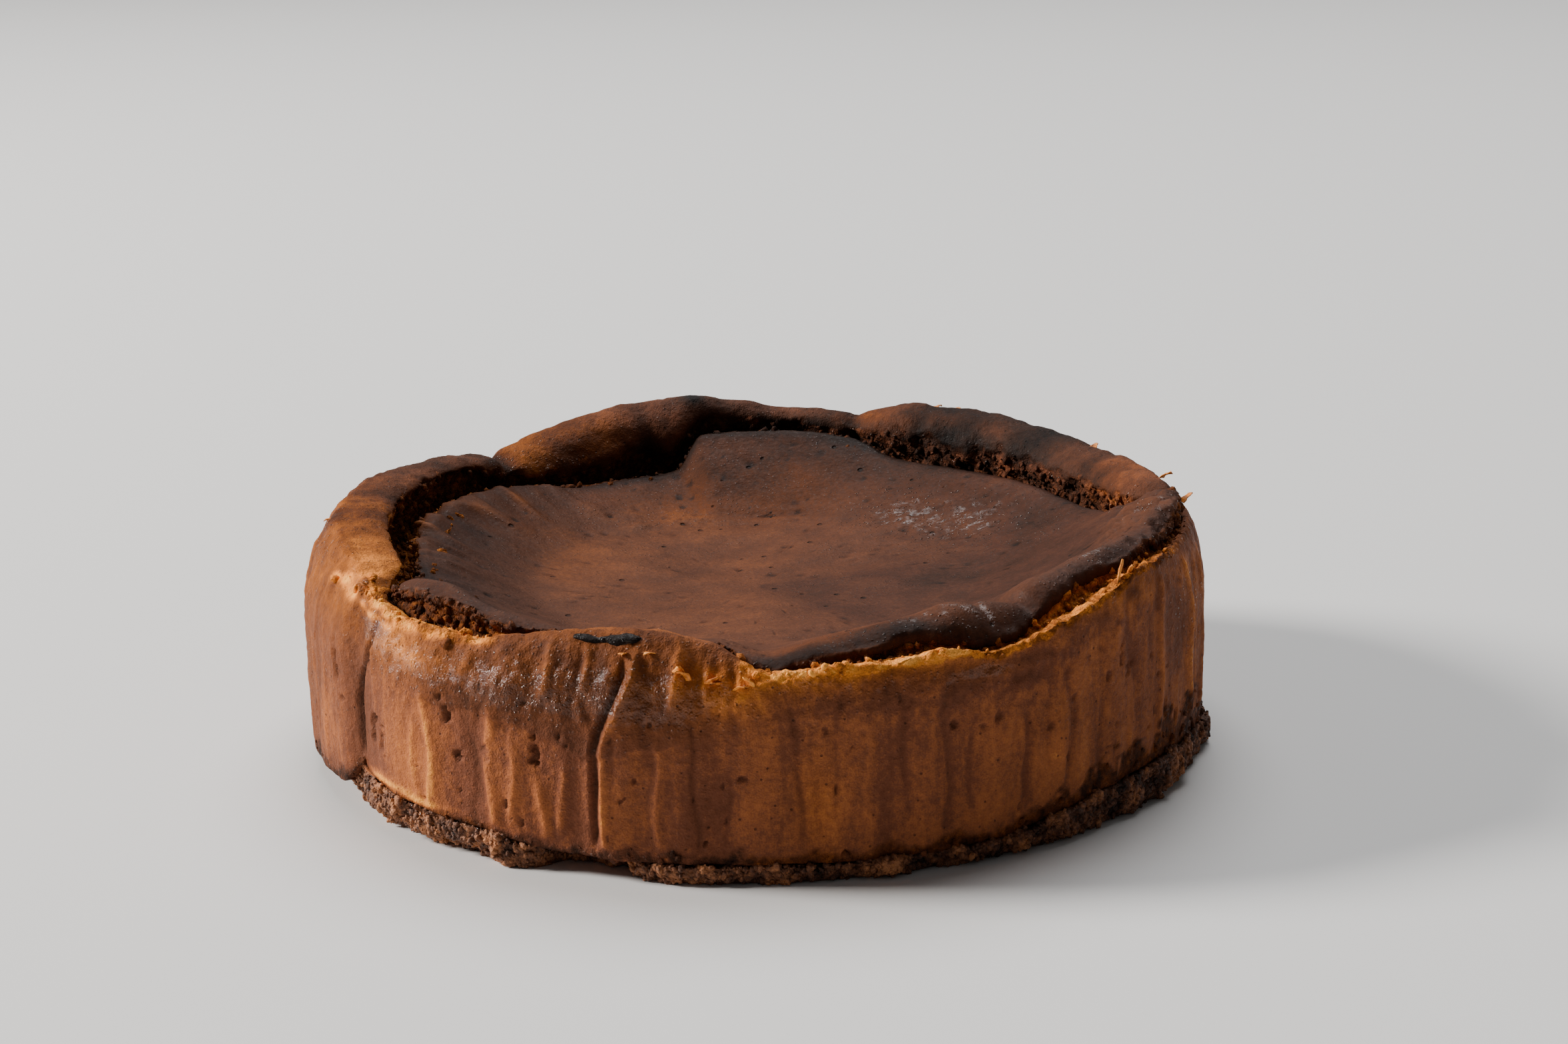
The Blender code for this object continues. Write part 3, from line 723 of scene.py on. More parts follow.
# Of each of these pairs, one is drawn out up the wall.
STEP_TEETH, STEP_NICKS = (1.6, 4.0, 56), (0.5, 1.2, 57)
BLISTERS, LONG_BLISTERS = (0.30, 1.2, 58), (0.55, 2.8, 59)
ROUGH_SKIN, STREAKED_SKIN = (0.08, 1.0, 60), (0.10, 2.0, 69)
FOOT_TONGUES, FOOT_NICKS = (1.1, 3.5, 88), (0.6, 1.4, 89)

# The upper skin of the wall, left thicker down to a torn step at the front left.
STEP_FROM, STEP_TO = -47.0, -7.5
STEP_HEIGHTS = ((-60, 35.0), (-36, 35.6), (-29.5, 34.2), (-24, 30.0), (-20, 28.0), (-15, 30.5),
                (-10, 31.2), (0, 33.0), (120, 35.0))
STEP_THICKNESS = 0.38 * MM

# How browned each stretch is: the wall, the lobe's crest, its inner face, the crack, the torn
# edge. From 0, pale custard, to 1, burnt black.
BROWN_FIELDS = ("angle", "wall", "crest", "inner", "crack", "edge")
BROWNED = (
    (-172, 0.5, 0.66, 0.72, 0.74, 0.6),
    (-160, 0.48, 0.62, 0.64, 0.68, 0.6),
    (-146, 0.46, 0.58, 0.54, 0.66, 0.5),
    (-137, 0.46, 0.55, 0.46, 0.7, 0.5),
    (-124, 0.46, 0.66, 0.66, 0.54, 0.5),
    (-105, 0.51, 0.58, 0.66, 0.46, 0.5),
    (-84, 0.51, 0.51, 0.6, 0.46, 0.3),
    (-66, 0.47, 0.47, 0.6, 0.68, 0.34),
    (-54, 0.46, 0.42, 0.44, 0.72, 0.32),
    (-46, 0.47, 0.42, 0.4, 0.68, 0.3),
    (-36, 0.47, 0.42, 0.36, 0.56, 0.26),
    (-27, 0.46, 0.43, 0.52, 0.6, 0.36),
    (-15, 0.46, 0.45, 0.54, 0.64, 0.4),
    (-6, 0.45, 0.45, 0.54, 0.66, 0.4),
    (1, 0.42, 0.36, 0.46, 0.62, 0.26),
    (8, 0.41, 0.32, 0.58, 0.68, 0.2),
    (19, 0.4, 0.32, 0.52, 0.62, 0.16),
    (28, 0.39, 0.38, 0.36, 0.48, 0.28),
    (34, 0.39, 0.41, 0.34, 0.38, 0.38),
    (42, 0.385, 0.41, 0.34, 0.36, 0.38),
    (53, 0.39, 0.43, 0.36, 0.36, 0.4),
    (68, 0.405, 0.49, 0.46, 0.44, 0.5),
    (86, 0.43, 0.56, 0.6, 0.52, 0.56),
    (97, 0.47, 0.6, 0.68, 0.5, 0.5),
    (115, 0.48, 0.8, 0.84, 0.6, 0.62),
    (135, 0.48, 0.86, 0.88, 0.64, 0.64),
    (153, 0.48, 0.8, 0.84, 0.72, 0.64),
    (163, 0.5, 0.64, 0.76, 0.7, 0.54),
    (176, 0.5, 0.64, 0.8, 0.84, 0.5),
)

# Paler or darker patches: angle, height, half width in degrees, half height in millimetres, and
# how much browner.
PATCHES = (
    (-68, 53.6, 1.2, 0.9, -0.46),
    (-64.6, 54.2, 1.8, 1.3, -0.56),
    (-61, 52.6, 1.6, 1.4, -0.52),
    (-57.4, 51.6, 1, 1, -0.36),
    # paler orange below the left rim, partly a painted highlight of its glossy sheen
    (-46, 45.5, 9, 3, -0.18),
    (-54, 50.4, 2, 1.1, -0.34),
    (-50, 49.6, 1.7, 0.9, -0.28),
    (-61.5, 56.8, 1.4, 1.4, -0.32),
    (-57.4, 55.2, 1.1, 1.1, -0.34),
    (-53.4, 53.2, 1.2, 0.9, -0.32),
    (-50, 52, 1.2, 0.9, -0.28),
    (-45.5, 51, 1.6, 1, -0.26),
    (-40.5, 50.6, 1.4, 0.9, -0.22),
    (-36, 50.6, 1.6, 0.9, -0.16),
    (-66, 57, 2.4, 1.6, -0.14),
    (-76, 59, 6, 1.8, -0.06),
    (-52, 12, 5, 1.5, -0.34),
    (-44, 10.4, 4, 1.2, -0.3),
    (-20, 6.3, 5, 1.1, -0.34),
    (6, 18, 1.8, 9, -0.08),
    (17, 20, 1.4, 11, -0.04),
    (35, 18, 1.8, 8, -0.04),
    (41, 18, 1.4, 10, -0.03),
    (50, 24, 2.2, 11, -0.04),
    (54, 22, 1.6, 12, -0.03),
    (65, 28, 2.2, 14, -0.04),
    (-4.6, 42, 4.5, 4.5, -0.1),
    (4, 45, 6, 3, -0.06),
    (5, 47.4, 1.2, 1, -0.16),
    (11, 48, 1.6, 1.2, -0.2),
    (17.5, 49.2, 2.2, 1.3, -0.24),
    (21, 48.6, 1.2, 1, -0.16),
    (40, 53, 2, 0.8, -0.22),
    (46.5, 55.4, 1.2, 0.8, -0.16),
    (27, 41, 8, 4, 0.09),
    (12, 40, 8, 3, 0.05),
    (40, 47, 2, 3, 0.1),
    (57, 49, 2, 4, 0.1),
    (51, 53, 1.5, 2, 0.13),
    (45, 49, 2.2, 2.2, 0.12),
    (33, 45.5, 3, 1.5, 0.09),
    (50.5, 49, 1, 3, -0.07),
    (55, 48, 1, 5, -0.07),
    (-8, 46, 3, 3, -0.07),
    (62, 36, 3.5, 8, 0.08),
    (-29, 42, 4, 5, 0.06),
    (-18, 36, 7, 5, -0.05),
    (-30, 16, 4, 6, -0.05),
    (-66, 18, 6, 8, -0.06),
    (-44, 20, 6, 9, -0.09),
)

# Moist, honey-brown patches: angle, height, half width in degrees, half height in millimetres,
# and how moist.
HONEY = (
    (-84, 58, 20, 9, 0.8),
    (-60, 53, 18, 9, 0.9),
    (-92, 30, 30, 26, 0.6),
    (-24, 55, 20, 4, 0.6),
    (-146, 57, 14, 10, 0.8),
    (162, 60, 6, 5, 0.8),
    (146, 61, 8, 4, 0.5),
    (104, 58, 12, 7, 0.5),
    (-10, 46, 14, 8, 0.5),
    (-36, 44, 14, 7, 0.3),
    (10, 48, 16, 3, 0.8),
    (48, 54, 12, 4, 0.6),
    (6, 18, 3, 11, 0.4),
    (-120, 50, 60, 9, 0.3),
)

# Where one puffed lobe of the rim ends against the next: angle, half width in degrees, and how
# deep the fold between them is in millimetres.
JUNCTIONS = (
    (-136, 1.6, 2),
    (-162, 1.6, 0.6),
    (163, 1.5, 1.2),
    (150, 1.2, 0.5),
    (112, 1.4, 0.6),
    (-98, 1.6, 0.5),
)

# Marks on the lobes: angle, height, half width in degrees, half height in millimetres, how much
# browner, and how far they stand out in millimetres.
LOBE_MARKS = (
    (-171, 64.4, 1.5, 1.6, 0.4, 0.8),
    (-162, 52, 2, 4.5, 0.26, -1.2),
    (-132, 55.5, 3, 3, 0.2, 0.6),
    (-61, 57.2, 0.8, 0.8, 0.45, -0.1),
    (-150, 51.5, 7, 2, 0.16, 0.5),
    (170, 57.5, 9, 1.6, 0.2, 0),
    (146, 61, 7, 2, -0.12, 0.2),
    (112, 60.5, 9, 1.6, -0.14, 0.2),
    (-86, 60, 3, 2, 0.08, 0.3),
)

# Red-brown crumb showing in the cracks: angle, height, half width in degrees, half height in
# millimetres, and how much browner.
CRACK_PATCHES = (
    (99, 54, 3.5, 4, -0.24),
    (107, 53, 2.6, 3, -0.22),
    (114, 50, 2, 2.5, -0.12),
    (122, 53, 1.6, 3, -0.2),
    (133, 52, 2.2, 3, -0.22),
    (143, 52, 1.6, 3, -0.14),
    (-70, 50, 5, 5, -0.12),
    (-88, 48, 4, 4, -0.14),
    (-106, 50, 5, 4, -0.12),
    (-120, 50, 4, 4, -0.08),
    (-150, 50, 4, 3, -0.12),
)

# How far the dark, crumbly foot of the wall climbs above the base, burnt crumb and painted shade
# where the wall meets the base: angle and millimetres.
SCORCHED_AND_SHADED_FOOT = ((-180, 1.5), (-120, 2.0), (-90, 2.6), (-64, 2.0), (-56, 0.3), (-30, 0.8),
                 (-12, 1.6), (10, 1.4), (30, 1.6), (42, 3.6), (56, 6.0), (70, 5.5), (86, 3.6),
                 (110, 2.5))

# Oily patches: angle, height, half width in degrees, half height in millimetres, how oily.
OILY = (
    (-46, 44, 8, 6, 0.8),
    (-33, 43, 7, 7, 0.66),
    (-22, 43, 7, 9, 0.72),
    (-12, 42, 6, 9, 0.72),
    (-5, 43, 5, 6, 0.55),
    (4, 46, 6, 2.5, 0.6),
    (15, 44, 8, 3, 0.55),
    (26.5, 44.4, 4.5, 2, 1),
    (-58, 54, 6, 4, 0.6),
    (-53, 48, 4, 4, 0.75),
    (-84, 58, 14, 5, 0.5),
    (-66, 60, 8, 5, 0.45),
    (-142, 50, 12, 4, 0.85),
    (-88, 20, 6, 16, 0.4),
    (-140, 55, 8, 5, 0.5),
    (36, 30, 6, 4, 0.3),
    (68, 40, 8, 14, 0.4),
    (102, 44, 10, 9, 0.5),
    (132, 48, 14, 6, 0.55),
    (168, 46, 16, 7, 0.5),
    (-158, 40, 10, 10, 0.45),
    (-104, 48, 14, 5, 0.5),
    (-84, 30, 8, 10, 0.35),
)


def paper_relief(angles, height):
    """Folds that the baking paper left in the wall, as an outward distance."""
    relief = sum(size * np.sin(count * np.radians(angles) + phase)
                 for count, size, phase in PAPER_WAVES)
    lift = height / STRAIGHT_WALL
    for angle, drift, half_width, size in PLEATS:
        relief = relief + size * bell(angles, angle + drift * lift, half_width)
    grown = np.clip(lift / FOLDS_START, 0.0, 1.0)
    left = np.clip((FOLDS_END - lift) / (FOLDS_END - FOLDS_FADE), 0.0, 1.0)
    return relief * MM * grown * left


def spots(angles, height, table):
    """Sum of soft round patches from a table of angle, height, two half widths and amount."""
    total = np.zeros(np.broadcast(angles, height).shape)
    for angle, middle, half_angle, half_height, amount in table:
        level = np.exp(-((height - middle * MM) / (half_height * MM)) ** 2)
        total += amount * bell(angles, angle, half_angle) * level
    return total


def crease_relief(angles, height):
    """Sharp folds of the paper, the named ones at the front and seeded ones all round."""
    draw = np.random.RandomState(RANDOM_CREASE_SEED)
    creases = list(CREASES)
    for _ in range(RANDOM_CREASES):
        angle = draw.uniform(-180.0, 180.0)
        low = draw.uniform(4.0, 30.0)
        size = draw.uniform(-0.9, 0.9) * (1.0 if abs(angle) > SEEN_FROM_FRONT else 0.35)
        creases.append((angle, angle + draw.uniform(-2.5, 2.5), low,
                        low + draw.uniform(12.0, 36.0), draw.uniform(0.4, 1.2), size))
    lean = ease(height, LEAN_START, LEAN_END)
    relief = np.zeros(np.broadcast(angles, height).shape)
    for foot, head, low, high, half_width, size in creases:
        wander = CREASE_WANDER * np.sin(height / (4.0 * MM) + foot) * (abs(size) < 0.9)
        off = apart(angles, foot + (head - foot) * lean + wander) / half_width
        off = np.where(off < 0.0, 1.6 * off, off)
        ends = ease(height, low * MM, (low + 5.0) * MM) * ease(height, (high + 3.0) * MM,
                                                               (high - 3.0) * MM)
        relief += size * MM * np.exp(-off ** 2) * ends
    return relief


def pit_depth(angles, height, place):
    """How deep the pits are, and how far inside one a point lies."""
    draw = np.random.RandomState(RANDOM_PIT_SEED)
    pits = list(PITS)
    for _ in range(RANDOM_PITS):
        angle = draw.uniform(-180.0, 180.0)
        scale = 1.0 if abs(angle) > SEEN_FROM_FRONT else 0.6
        pits.append((angle, draw.uniform(9.0, 42.0), draw.uniform(0.5, 1.5) * scale,
                     draw.uniform(0.6, 3.5) * scale, draw.uniform(0.3, 0.7)))
    depth = np.zeros(np.broadcast(angles, height).shape)
    inside = np.zeros_like(depth)
    ragged = layered(place, *PIT_RAGGED)
    for angle, middle, wide, tall, deep in pits:
        across = np.radians(apart(angles, angle)) * WALL_RADIUS / (0.5 * wide * MM)
        along = (height - middle * MM) / (0.5 * tall * MM)
        share = ease(np.hypot(across, along) + ragged, 1.20, 0.70)
        depth = np.maximum(depth, deep * MM * share)
        inside = np.maximum(inside, share)
    return depth, inside


def between(rings, steps):
    """Rings from the first given ring to the last, with a number of steps on each run."""
    filled = [rings[0]]
    for start, end, count in zip(rings, rings[1:], steps):
        for step in range(1, count + 1):
            share = step / count
            filled.append(tuple(a + (b - a) * share for a, b in zip(start, end)))
    return filled


def squashed(points, share):
    """Points with lower heights, so that random relief read there runs up the wall."""
    return points * (1.0, 1.0, share)


def lip_edge(angles, rim):
    """Radius and height of the broken edge of the sunken skin's lip."""
    radius = rim["lip_r"] + rim["overhang"] + crags(angles, 23, TORN_EDGE)
    return radius, rim["lip_z"] - LIP_CURL * rim["overhang"] ** 2


def slope_height(share, rim):
    """Height of the sunken top, from 0 at the flat middle's edge to 1 at the lip's crest."""
    rise = share ** SLOPE_POWER * (1.0 + SLOPE_BULGE * share * (1.0 - share))
    return FLOOR_HEIGHT + (rim["lip_z"] - FLOOR_HEIGHT) * rise


angles = column_angles(CUSTARD_COLUMNS)
base = broken_base(angles)
rim = read_table(STRETCH_FIELDS, STRETCHES, angles, MM)
brown = read_table(BROWN_FIELDS, BROWNED, angles)
torn = ease(rim["overhang"], *TORN_OVERHANG)
open_edge = np.clip(rim["overhang"] / FULL_OVERHANG, 0.0, 1.0) ** 4
rim["crest_z"] = rim["crest_z"] + open_edge * crags(angles, 19, TORN_EDGE)
teeth = layered(turned(angles, 0.11, 0.0), *EDGE_TEETH)
rim["crest_z"] = rim["crest_z"] + torn * MM * teeth
edge_r, edge_z = lip_edge(angles, rim)

# The outline of each column: up the wall, over the lobe, through the crack and under the skin.
# Each ring is the radius and the height of all columns at one step along it.
ledge_r = np.minimum(base["outer_r"] + NODE_GAP, WALL_RADIUS - WALL_FOOT)
ledge_z = base_surface(base, ledge_r) + NODE_GAP
clear_z = base_surface(base, np.maximum(base["outer_r"], WALL_RADIUS)) + NODE_GAP
bottom = np.maximum(ledge_z, clear_z) - base["lap"]
rings = [(0.5 * BASE_FLAT_RADIUS, BASE_MIDDLE_TOP + NODE_GAP), (ledge_r, ledge_z),
         (ledge_r + FOOT_BEVEL * WALL_FOOT, bottom)]
for share in np.arange(WALL_RINGS) / WALL_RINGS:
    height = bottom + (STRAIGHT_WALL - bottom) * share
    tuck = FOOT_TUCK * (1.0 - share) ** FOOT_TUCK_POWER
    rings.append((WALL_RADIUS - tuck + paper_relief(angles, height), height))
inset = WALL_RADIUS - rim["crest_r"]
for share in np.sin(0.5 * math.pi * np.arange(SHOULDER_RINGS + 1) / SHOULDER_RINGS):
    height = STRAIGHT_WALL + (rim["crest_z"] - STRAIGHT_WALL) * share
    fullness = (1.0 - share ** SHOULDER_POWER) ** SHOULDER_ROOT
    relief = paper_relief(angles, height) * fullness
    rings.append((rim["crest_r"] + inset * fullness + relief, height))
crest_ring = len(rings) - 1
for turn in 0.5 * math.pi * np.arange(1, LOBE_RINGS + 1) / LOBE_RINGS:
    rings.append((rim["crest_r"] - (rim["crest_r"] - rim["foot_r"]) * math.sin(turn),
                  rim["crest_z"] - (rim["crest_z"] - rim["foot_z"]) * (1.0 - math.cos(turn))))
foot_ring = len(rings) - 1
face_z = edge_z - LIP_THICKNESS
floor_z = np.minimum(rim["foot_z"], face_z) - CRACK_FILL * rim["crack"]
undercut = CRACK_UNDERCUT * rim["crack"]
rough = np.minimum(rim["crack"] / ROUGH_DEPTH, 1.0)
outer_r = rim["foot_r"] + undercut + rough * crags(angles, 3, CRAG_SIZE)
inner_r = edge_r - undercut + rough * crags(angles, 5, CRAG_SIZE)
floor_r = 0.5 * (rim["foot_r"] + edge_r) + rough * crags(angles, 7, CRAG_SIZE)
crack = between([
    rings[-1],
    (outer_r, rim["foot_z"] + (floor_z - rim["foot_z"]) * CRACK_WAIST),
    (floor_r + (outer_r - floor_r) * CRACK_FLOOR_WIDTH,
     floor_z + rough * crags(angles, 11, CRAG_SIZE)),
    (floor_r + (inner_r - floor_r) * CRACK_FLOOR_WIDTH,
     floor_z + rough * crags(angles, 13, CRAG_SIZE)),
    (inner_r - 0.8 * MM, face_z + 0.5 * LIP_THICKNESS)], CRACK_STEPS)
rings += crack[1:]
crack_ring = len(rings) - 1
rings.append((rim["lip_r"] - 4.0 * MM, rim["lip_z"] - 2.0 * UNDER_SKIN))
for share in UNDER_SKIN_SHARES:
    rings.append((FLOOR_RADIUS + (rim["lip_r"] - FLOOR_RADIUS) * share,
                  slope_height(share, rim) - UNDER_SKIN))
grid = np.array([turned(angles, *ring) for ring in rings])

# Which part each point is on, and where the crust gives way to crumb.
ring = np.arange(len(rings))[:, None]
height = grid[..., 2]
on_wall = ((ring >= UNDERSIDE_RINGS) & (ring <= crest_ring)).astype(float)
fade = on_wall * np.clip((crest_ring - ring) / 10.0, 0.0, 1.0)
along_lobe = np.clip((ring - crest_ring) / (foot_ring - crest_ring), 0.0, 1.0)
along_crack = np.clip((ring - foot_ring) / (crack_ring - foot_ring), 0.0, 1.0)
near_crest = np.where(ring <= crest_ring, ease(rim["crest_z"] - height, *CREST_BAND), 1.0)
edge_line = MM * (TORN_BAND + layered(grid, TORN_BAND_RELIEF))
at_edge = np.where(ring <= crest_ring, ease(height, rim["crest_z"] - edge_line - 0.8 * MM,
                                            rim["crest_z"] - edge_line + 0.4 * MM), 1.0)
jag = layered(grid, *CRUST_JAGS) * (along_lobe > 0.2)
past_crust = ease(along_lobe + jag, *CRUST_END)
crumble = np.where(ring > foot_ring, 1.0, np.maximum(torn * at_edge, past_crust))
patches = spots(angles, height, PATCHES)
bare = np.clip(-BARE_CRUMB[0] * patches - BARE_CRUMB[1], 0.0, 1.0)
crumble = np.maximum(crumble, 0.8 * bare * on_wall) * (ring >= UNDERSIDE_RINGS)

# Relief, which moves each point outwards.
folds = crease_relief(angles, height) * fade
depth, inside = (share * fade for share in pit_depth(angles, height, grid))
step_line = round_cake(*np.array(STEP_HEIGHTS).T, angles) * MM
step_line = step_line + MM * (layered(squashed(grid, 0.4), STEP_TEETH)
                              + layered(grid, STEP_NICKS))
stepped = ease(angles, STEP_FROM, STEP_FROM + 5.0) * ease(angles, STEP_TO, STEP_TO - 3.0)
above = ease(height, step_line - 0.15 * MM, step_line + 0.25 * MM) * stepped * on_wall
step_rim = above * (1.0 - ease(height, step_line + 0.3 * MM, step_line + 1.2 * MM))
oil = spots(angles, height, OILY) * np.maximum(on_wall, 0.6)
blister = oil * on_wall * MM * (layered(grid, BLISTERS)
                                + layered(squashed(grid, 0.6), LONG_BLISTERS))
skin_rough = on_wall * MM * (layered(grid, ROUGH_SKIN)
                             + layered(squashed(grid, 0.3), STREAKED_SKIN))
high = on_wall * np.exp(-((height - rim["crest_z"]) / SHOULDER_BAND + 1.0) ** 2)
skin_rough = skin_rough + high * MM * layered(grid, *SHOULDER_RELIEF)
lobe_swell = near_crest * (1.0 - along_crack) * (1.0 - torn)
junctions = sum(deep * bell(angles, at, half_width) for at, half_width, deep in JUNCTIONS)
wrinkles = lobe_swell * MM * (layered(grid, *WRINKLES) - junctions + spots(
    angles, height, [(*row[:4], row[5]) for row in LOBE_MARKS]))
comb = -inside * PIT_COMB * np.abs(lumps(grid, 1.0 * MM, 65))
torn_relief = crumble * (0.30 + 0.70 * rough) * MM * layered(grid, *TORN_RELIEF)
torn_relief = torn_relief - past_crust * (1.0 - along_crack) * (1.0 - torn) * rough * 0.9 * MM
relief = (folds - depth + comb + above * STEP_THICKNESS + blister + skin_rough + wrinkles
          + torn_relief)
relief[:UNDERSIDE_RINGS] = 0.0
relief[crack_ring:] = 0.0
grid = grid + outward(grid) * relief[..., None]

# How browned and how moist each point is.
tone = brown["wall"] + (brown["crest"] - brown["wall"]) * near_crest
tone = tone + (brown["inner"] - tone) * along_lobe ** 4
# Random browning of the lobes and their marks, and painted shade in the folds where lobes meet.
tone = tone + lobe_swell * (
    layered(grid, (0.12, 11.0, 91), (0.07, 4.0, 92)) + JUNCTION_SHADE_TONE * junctions
    + spots(angles, height, [row[:5] for row in LOBE_MARKS]))
edge_tone = brown["edge"] + (brown["crack"] - brown["edge"]) * np.clip(
    0.5 * along_lobe + 1.2 * along_crack, 0.0, 1.0)
edge_tone = edge_tone + layered(grid, (0.22, 5.0, 104)) * (ring <= crest_ring)
tone = tone + (edge_tone - tone) * crumble
tone = tone + patches * (1.0 - along_crack)
# Painted shade in the grooves of the paper's folds and waves, and painted light on their ridges.
tone = tone - FOLD_SHADE_TONE * folds / MM - WAVE_SHADE_TONE * paper_relief(angles, height) / MM * fade
# Painted shade inside the pits, and paler at the step's rim.
tone = tone + PIT_SHADE_TONE * inside - STEP_RIM_TONE * step_rim
tone = tone + spots(angles, height, CRACK_PATCHES) * np.maximum(along_crack, 0.6 * crumble)
# Painted shade in the hollows of the torn crumb, and painted light on its lumps.
tone = tone - TORN_SHADE_TONE * torn_relief / MM * (ring > crest_ring)
# The dark foot of the wall: burnt crumb, and painted shade where the wall meets the base.
climb = round_cake(*np.array(SCORCHED_AND_SHADED_FOOT).T, angles) * MM
climb = climb * (1.3 + layered(squashed(grid, 0.6), FOOT_TONGUES)
                 + layered(grid, FOOT_NICKS))
scorched_and_shaded = on_wall * ease(height, bottom + climb + 1.6 * MM, bottom + climb - 1.2 * MM)
tone = tone + (SCORCHED_AND_SHADED_TONE + 0.16 * lumps(grid, 1.8 * MM, 97) - tone) * 0.9 * scorched_and_shaded
crumble = np.maximum(crumble, 0.8 * scorched_and_shaded)
tone = tone + stepped * on_wall * (STEP_TONE * above - 0.01)
tone = tone + on_wall * (layered(squashed(grid, 0.5), (0.04, 13.0, 98)) + OIL_TONE * oil)
tone = tone + high * layered(grid, (0.07, 3.4, 100), (0.05, 1.2, 101))
honeyed = spots(angles, height, HONEY) + 0.4 * oil
honeyed = honeyed + crumble * np.maximum(0.9 * torn, 0.7 * along_crack)
grains = np.where(ring > foot_ring, 1.0, 0.25 * crumble) * (ring <= crack_ring)
baked_custard = closed_body("baked_custard", grid, (0.0, 0.0, BASE_MIDDLE_TOP + NODE_GAP),
                            (0.0, 0.0, FLOOR_HEIGHT - CENTRE_SINK - UNDER_SKIN),
                            {"browning": tone, "oil": oil, "crumble": crumble, "grains": grains,
                             "honeyed": honeyed})
custard_finish = baked("baked_custard", streak=0.13, mottle=0.14, grain=0.18,
                       grain_size=0.40 * MM, grain_depth=0.22 * MM, crumb_depth=1.0 * MM,
                       pore_size=0.5 * MM, dry=0.60, gloss=0.09)
baked_custard.data.materials.append(custard_finish)
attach(baked_custard, "root")
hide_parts("cheesecake")

# ---- Sunken skin -----------------------------------------------------------------------------
# The top of the cake: a matte, leathery burnt skin. It rose in the oven, tore away from the rim,
# and sank into a shallow bowl, so that its lip curls over the cracks with a broken crumb edge.

SKIN_COLUMNS = 860
SKIN_UNDER = 1.3 * MM
SKIN_UNDER_SHARES = (-0.6, 0.0, 0.4, 0.8)
FACE_RINGS = 6
LIP_RINGS = 8
SLOPE_RINGS = 40
FLOOR_RINGS = 26

# Low swellings: count round the cake, size, phase, and how much they twist with the radius.
SWELLINGS = ((3, 0.0005, 0.7, 0.0), (5, 0.0004, -1.1, 40.0))
PUCKER_ANGLE = -95.0
PUCKER_SPREAD = 35.0
PUCKER_COUNT = 26
PUCKER_SIZE = 0.0005
PUCKER_RADIUS = 0.060
PUCKER_GROWTH = 0.015

# How browned the skin is at each angle: flat middle, slope, below the lip, on the lip and at its
# torn face.
SKIN_BROWN_FIELDS = ("angle", "floor", "slope", "rim", "lip", "face")
SKIN_BROWNED = (
    (-172, 0.55, 0.66, 0.66, 0.84, 0.8),
    (-146, 0.55, 0.6, 0.66, 0.74, 0.62),
    (-124, 0.56, 0.64, 0.64, 0.62, 0.46),
    (-105, 0.56, 0.66, 0.64, 0.58, 0.42),
    (-84, 0.56, 0.64, 0.64, 0.6, 0.44),
    (-66, 0.56, 0.63, 0.7, 0.78, 0.68),
    (-54, 0.56, 0.6, 0.66, 0.7, 0.7),
    (-46, 0.56, 0.58, 0.66, 0.7, 0.7),
    (-27, 0.56, 0.57, 0.62, 0.64, 0.66),
    (-10, 0.56, 0.57, 0.6, 0.62, 0.64),
    (8, 0.58, 0.6, 0.62, 0.74, 0.84),
    (19, 0.59, 0.62, 0.63, 0.76, 0.86),
    (28, 0.6, 0.64, 0.64, 0.74, 0.82),
    (42, 0.65, 0.69, 0.66, 0.7, 0.7),
    (60, 0.66, 0.71, 0.68, 0.72, 0.68),
    (80, 0.67, 0.71, 0.68, 0.72, 0.64),
    (97, 0.67, 0.71, 0.68, 0.72, 0.64),
    (115, 0.62, 0.68, 0.74, 0.8, 0.66),
    (135, 0.58, 0.66, 0.76, 0.82, 0.7),
    (153, 0.57, 0.66, 0.74, 0.84, 0.76),
    (176, 0.55, 0.67, 0.7, 0.84, 0.84),
)

# Patches of the skin: x, y, half width and half depth in millimetres, and how much browner.
SKIN_PATCHES = (
    (-50, 21, 16, 26, -0.04),
    (-36, 52, 16, 12, -0.03),
    (-16, 62, 20, 7, -0.04),
    (-2, 76, 30, 9, 0.08),
    (-58, -44, 14, 14, 0.03),
    (84, 30, 14, 20, 0.05),
    (0, 10, 70, 70, 0.02),
    (60, 36, 18, 14, -0.04),
    (48, -2, 10, 8, 0.07),
    (70, 20, 16, 20, 0.03),
    (30, 88, 18, 5, 0.12),
    (62, 68, 18, 6, 0.12),
    (-62, 52, 3, 3, -0.12),
    (-72, 38, 3, 3, -0.1),
    # darker along the front right lip: its burnt edge, and painted shade of its underside
    (8, -101.5, 10, 3, 0.2),
    (28, -97, 12, 4, 0.2),
)
SKIN_OILY = (                # as the patches, but how oily
    (58, 38, 17, 16, 0.62),
    (38, 52, 13, 12, 0.54),
    (74, 14, 10, 10, 0.46),
    (8, -60, 60, 8, 0.16),
    (-40, 60, 12, 10, 0.15),
    (98, 8, 6, 18, 0.55),
    (97, -24, 7, 14, 0.6),
    (28, -93, 16, 5, 0.45),
    (50, -88, 12, 8, 0.6),
    (78, -60, 12, 12, 0.55),
    (-72, -66, 9, 9, 0.4),
)

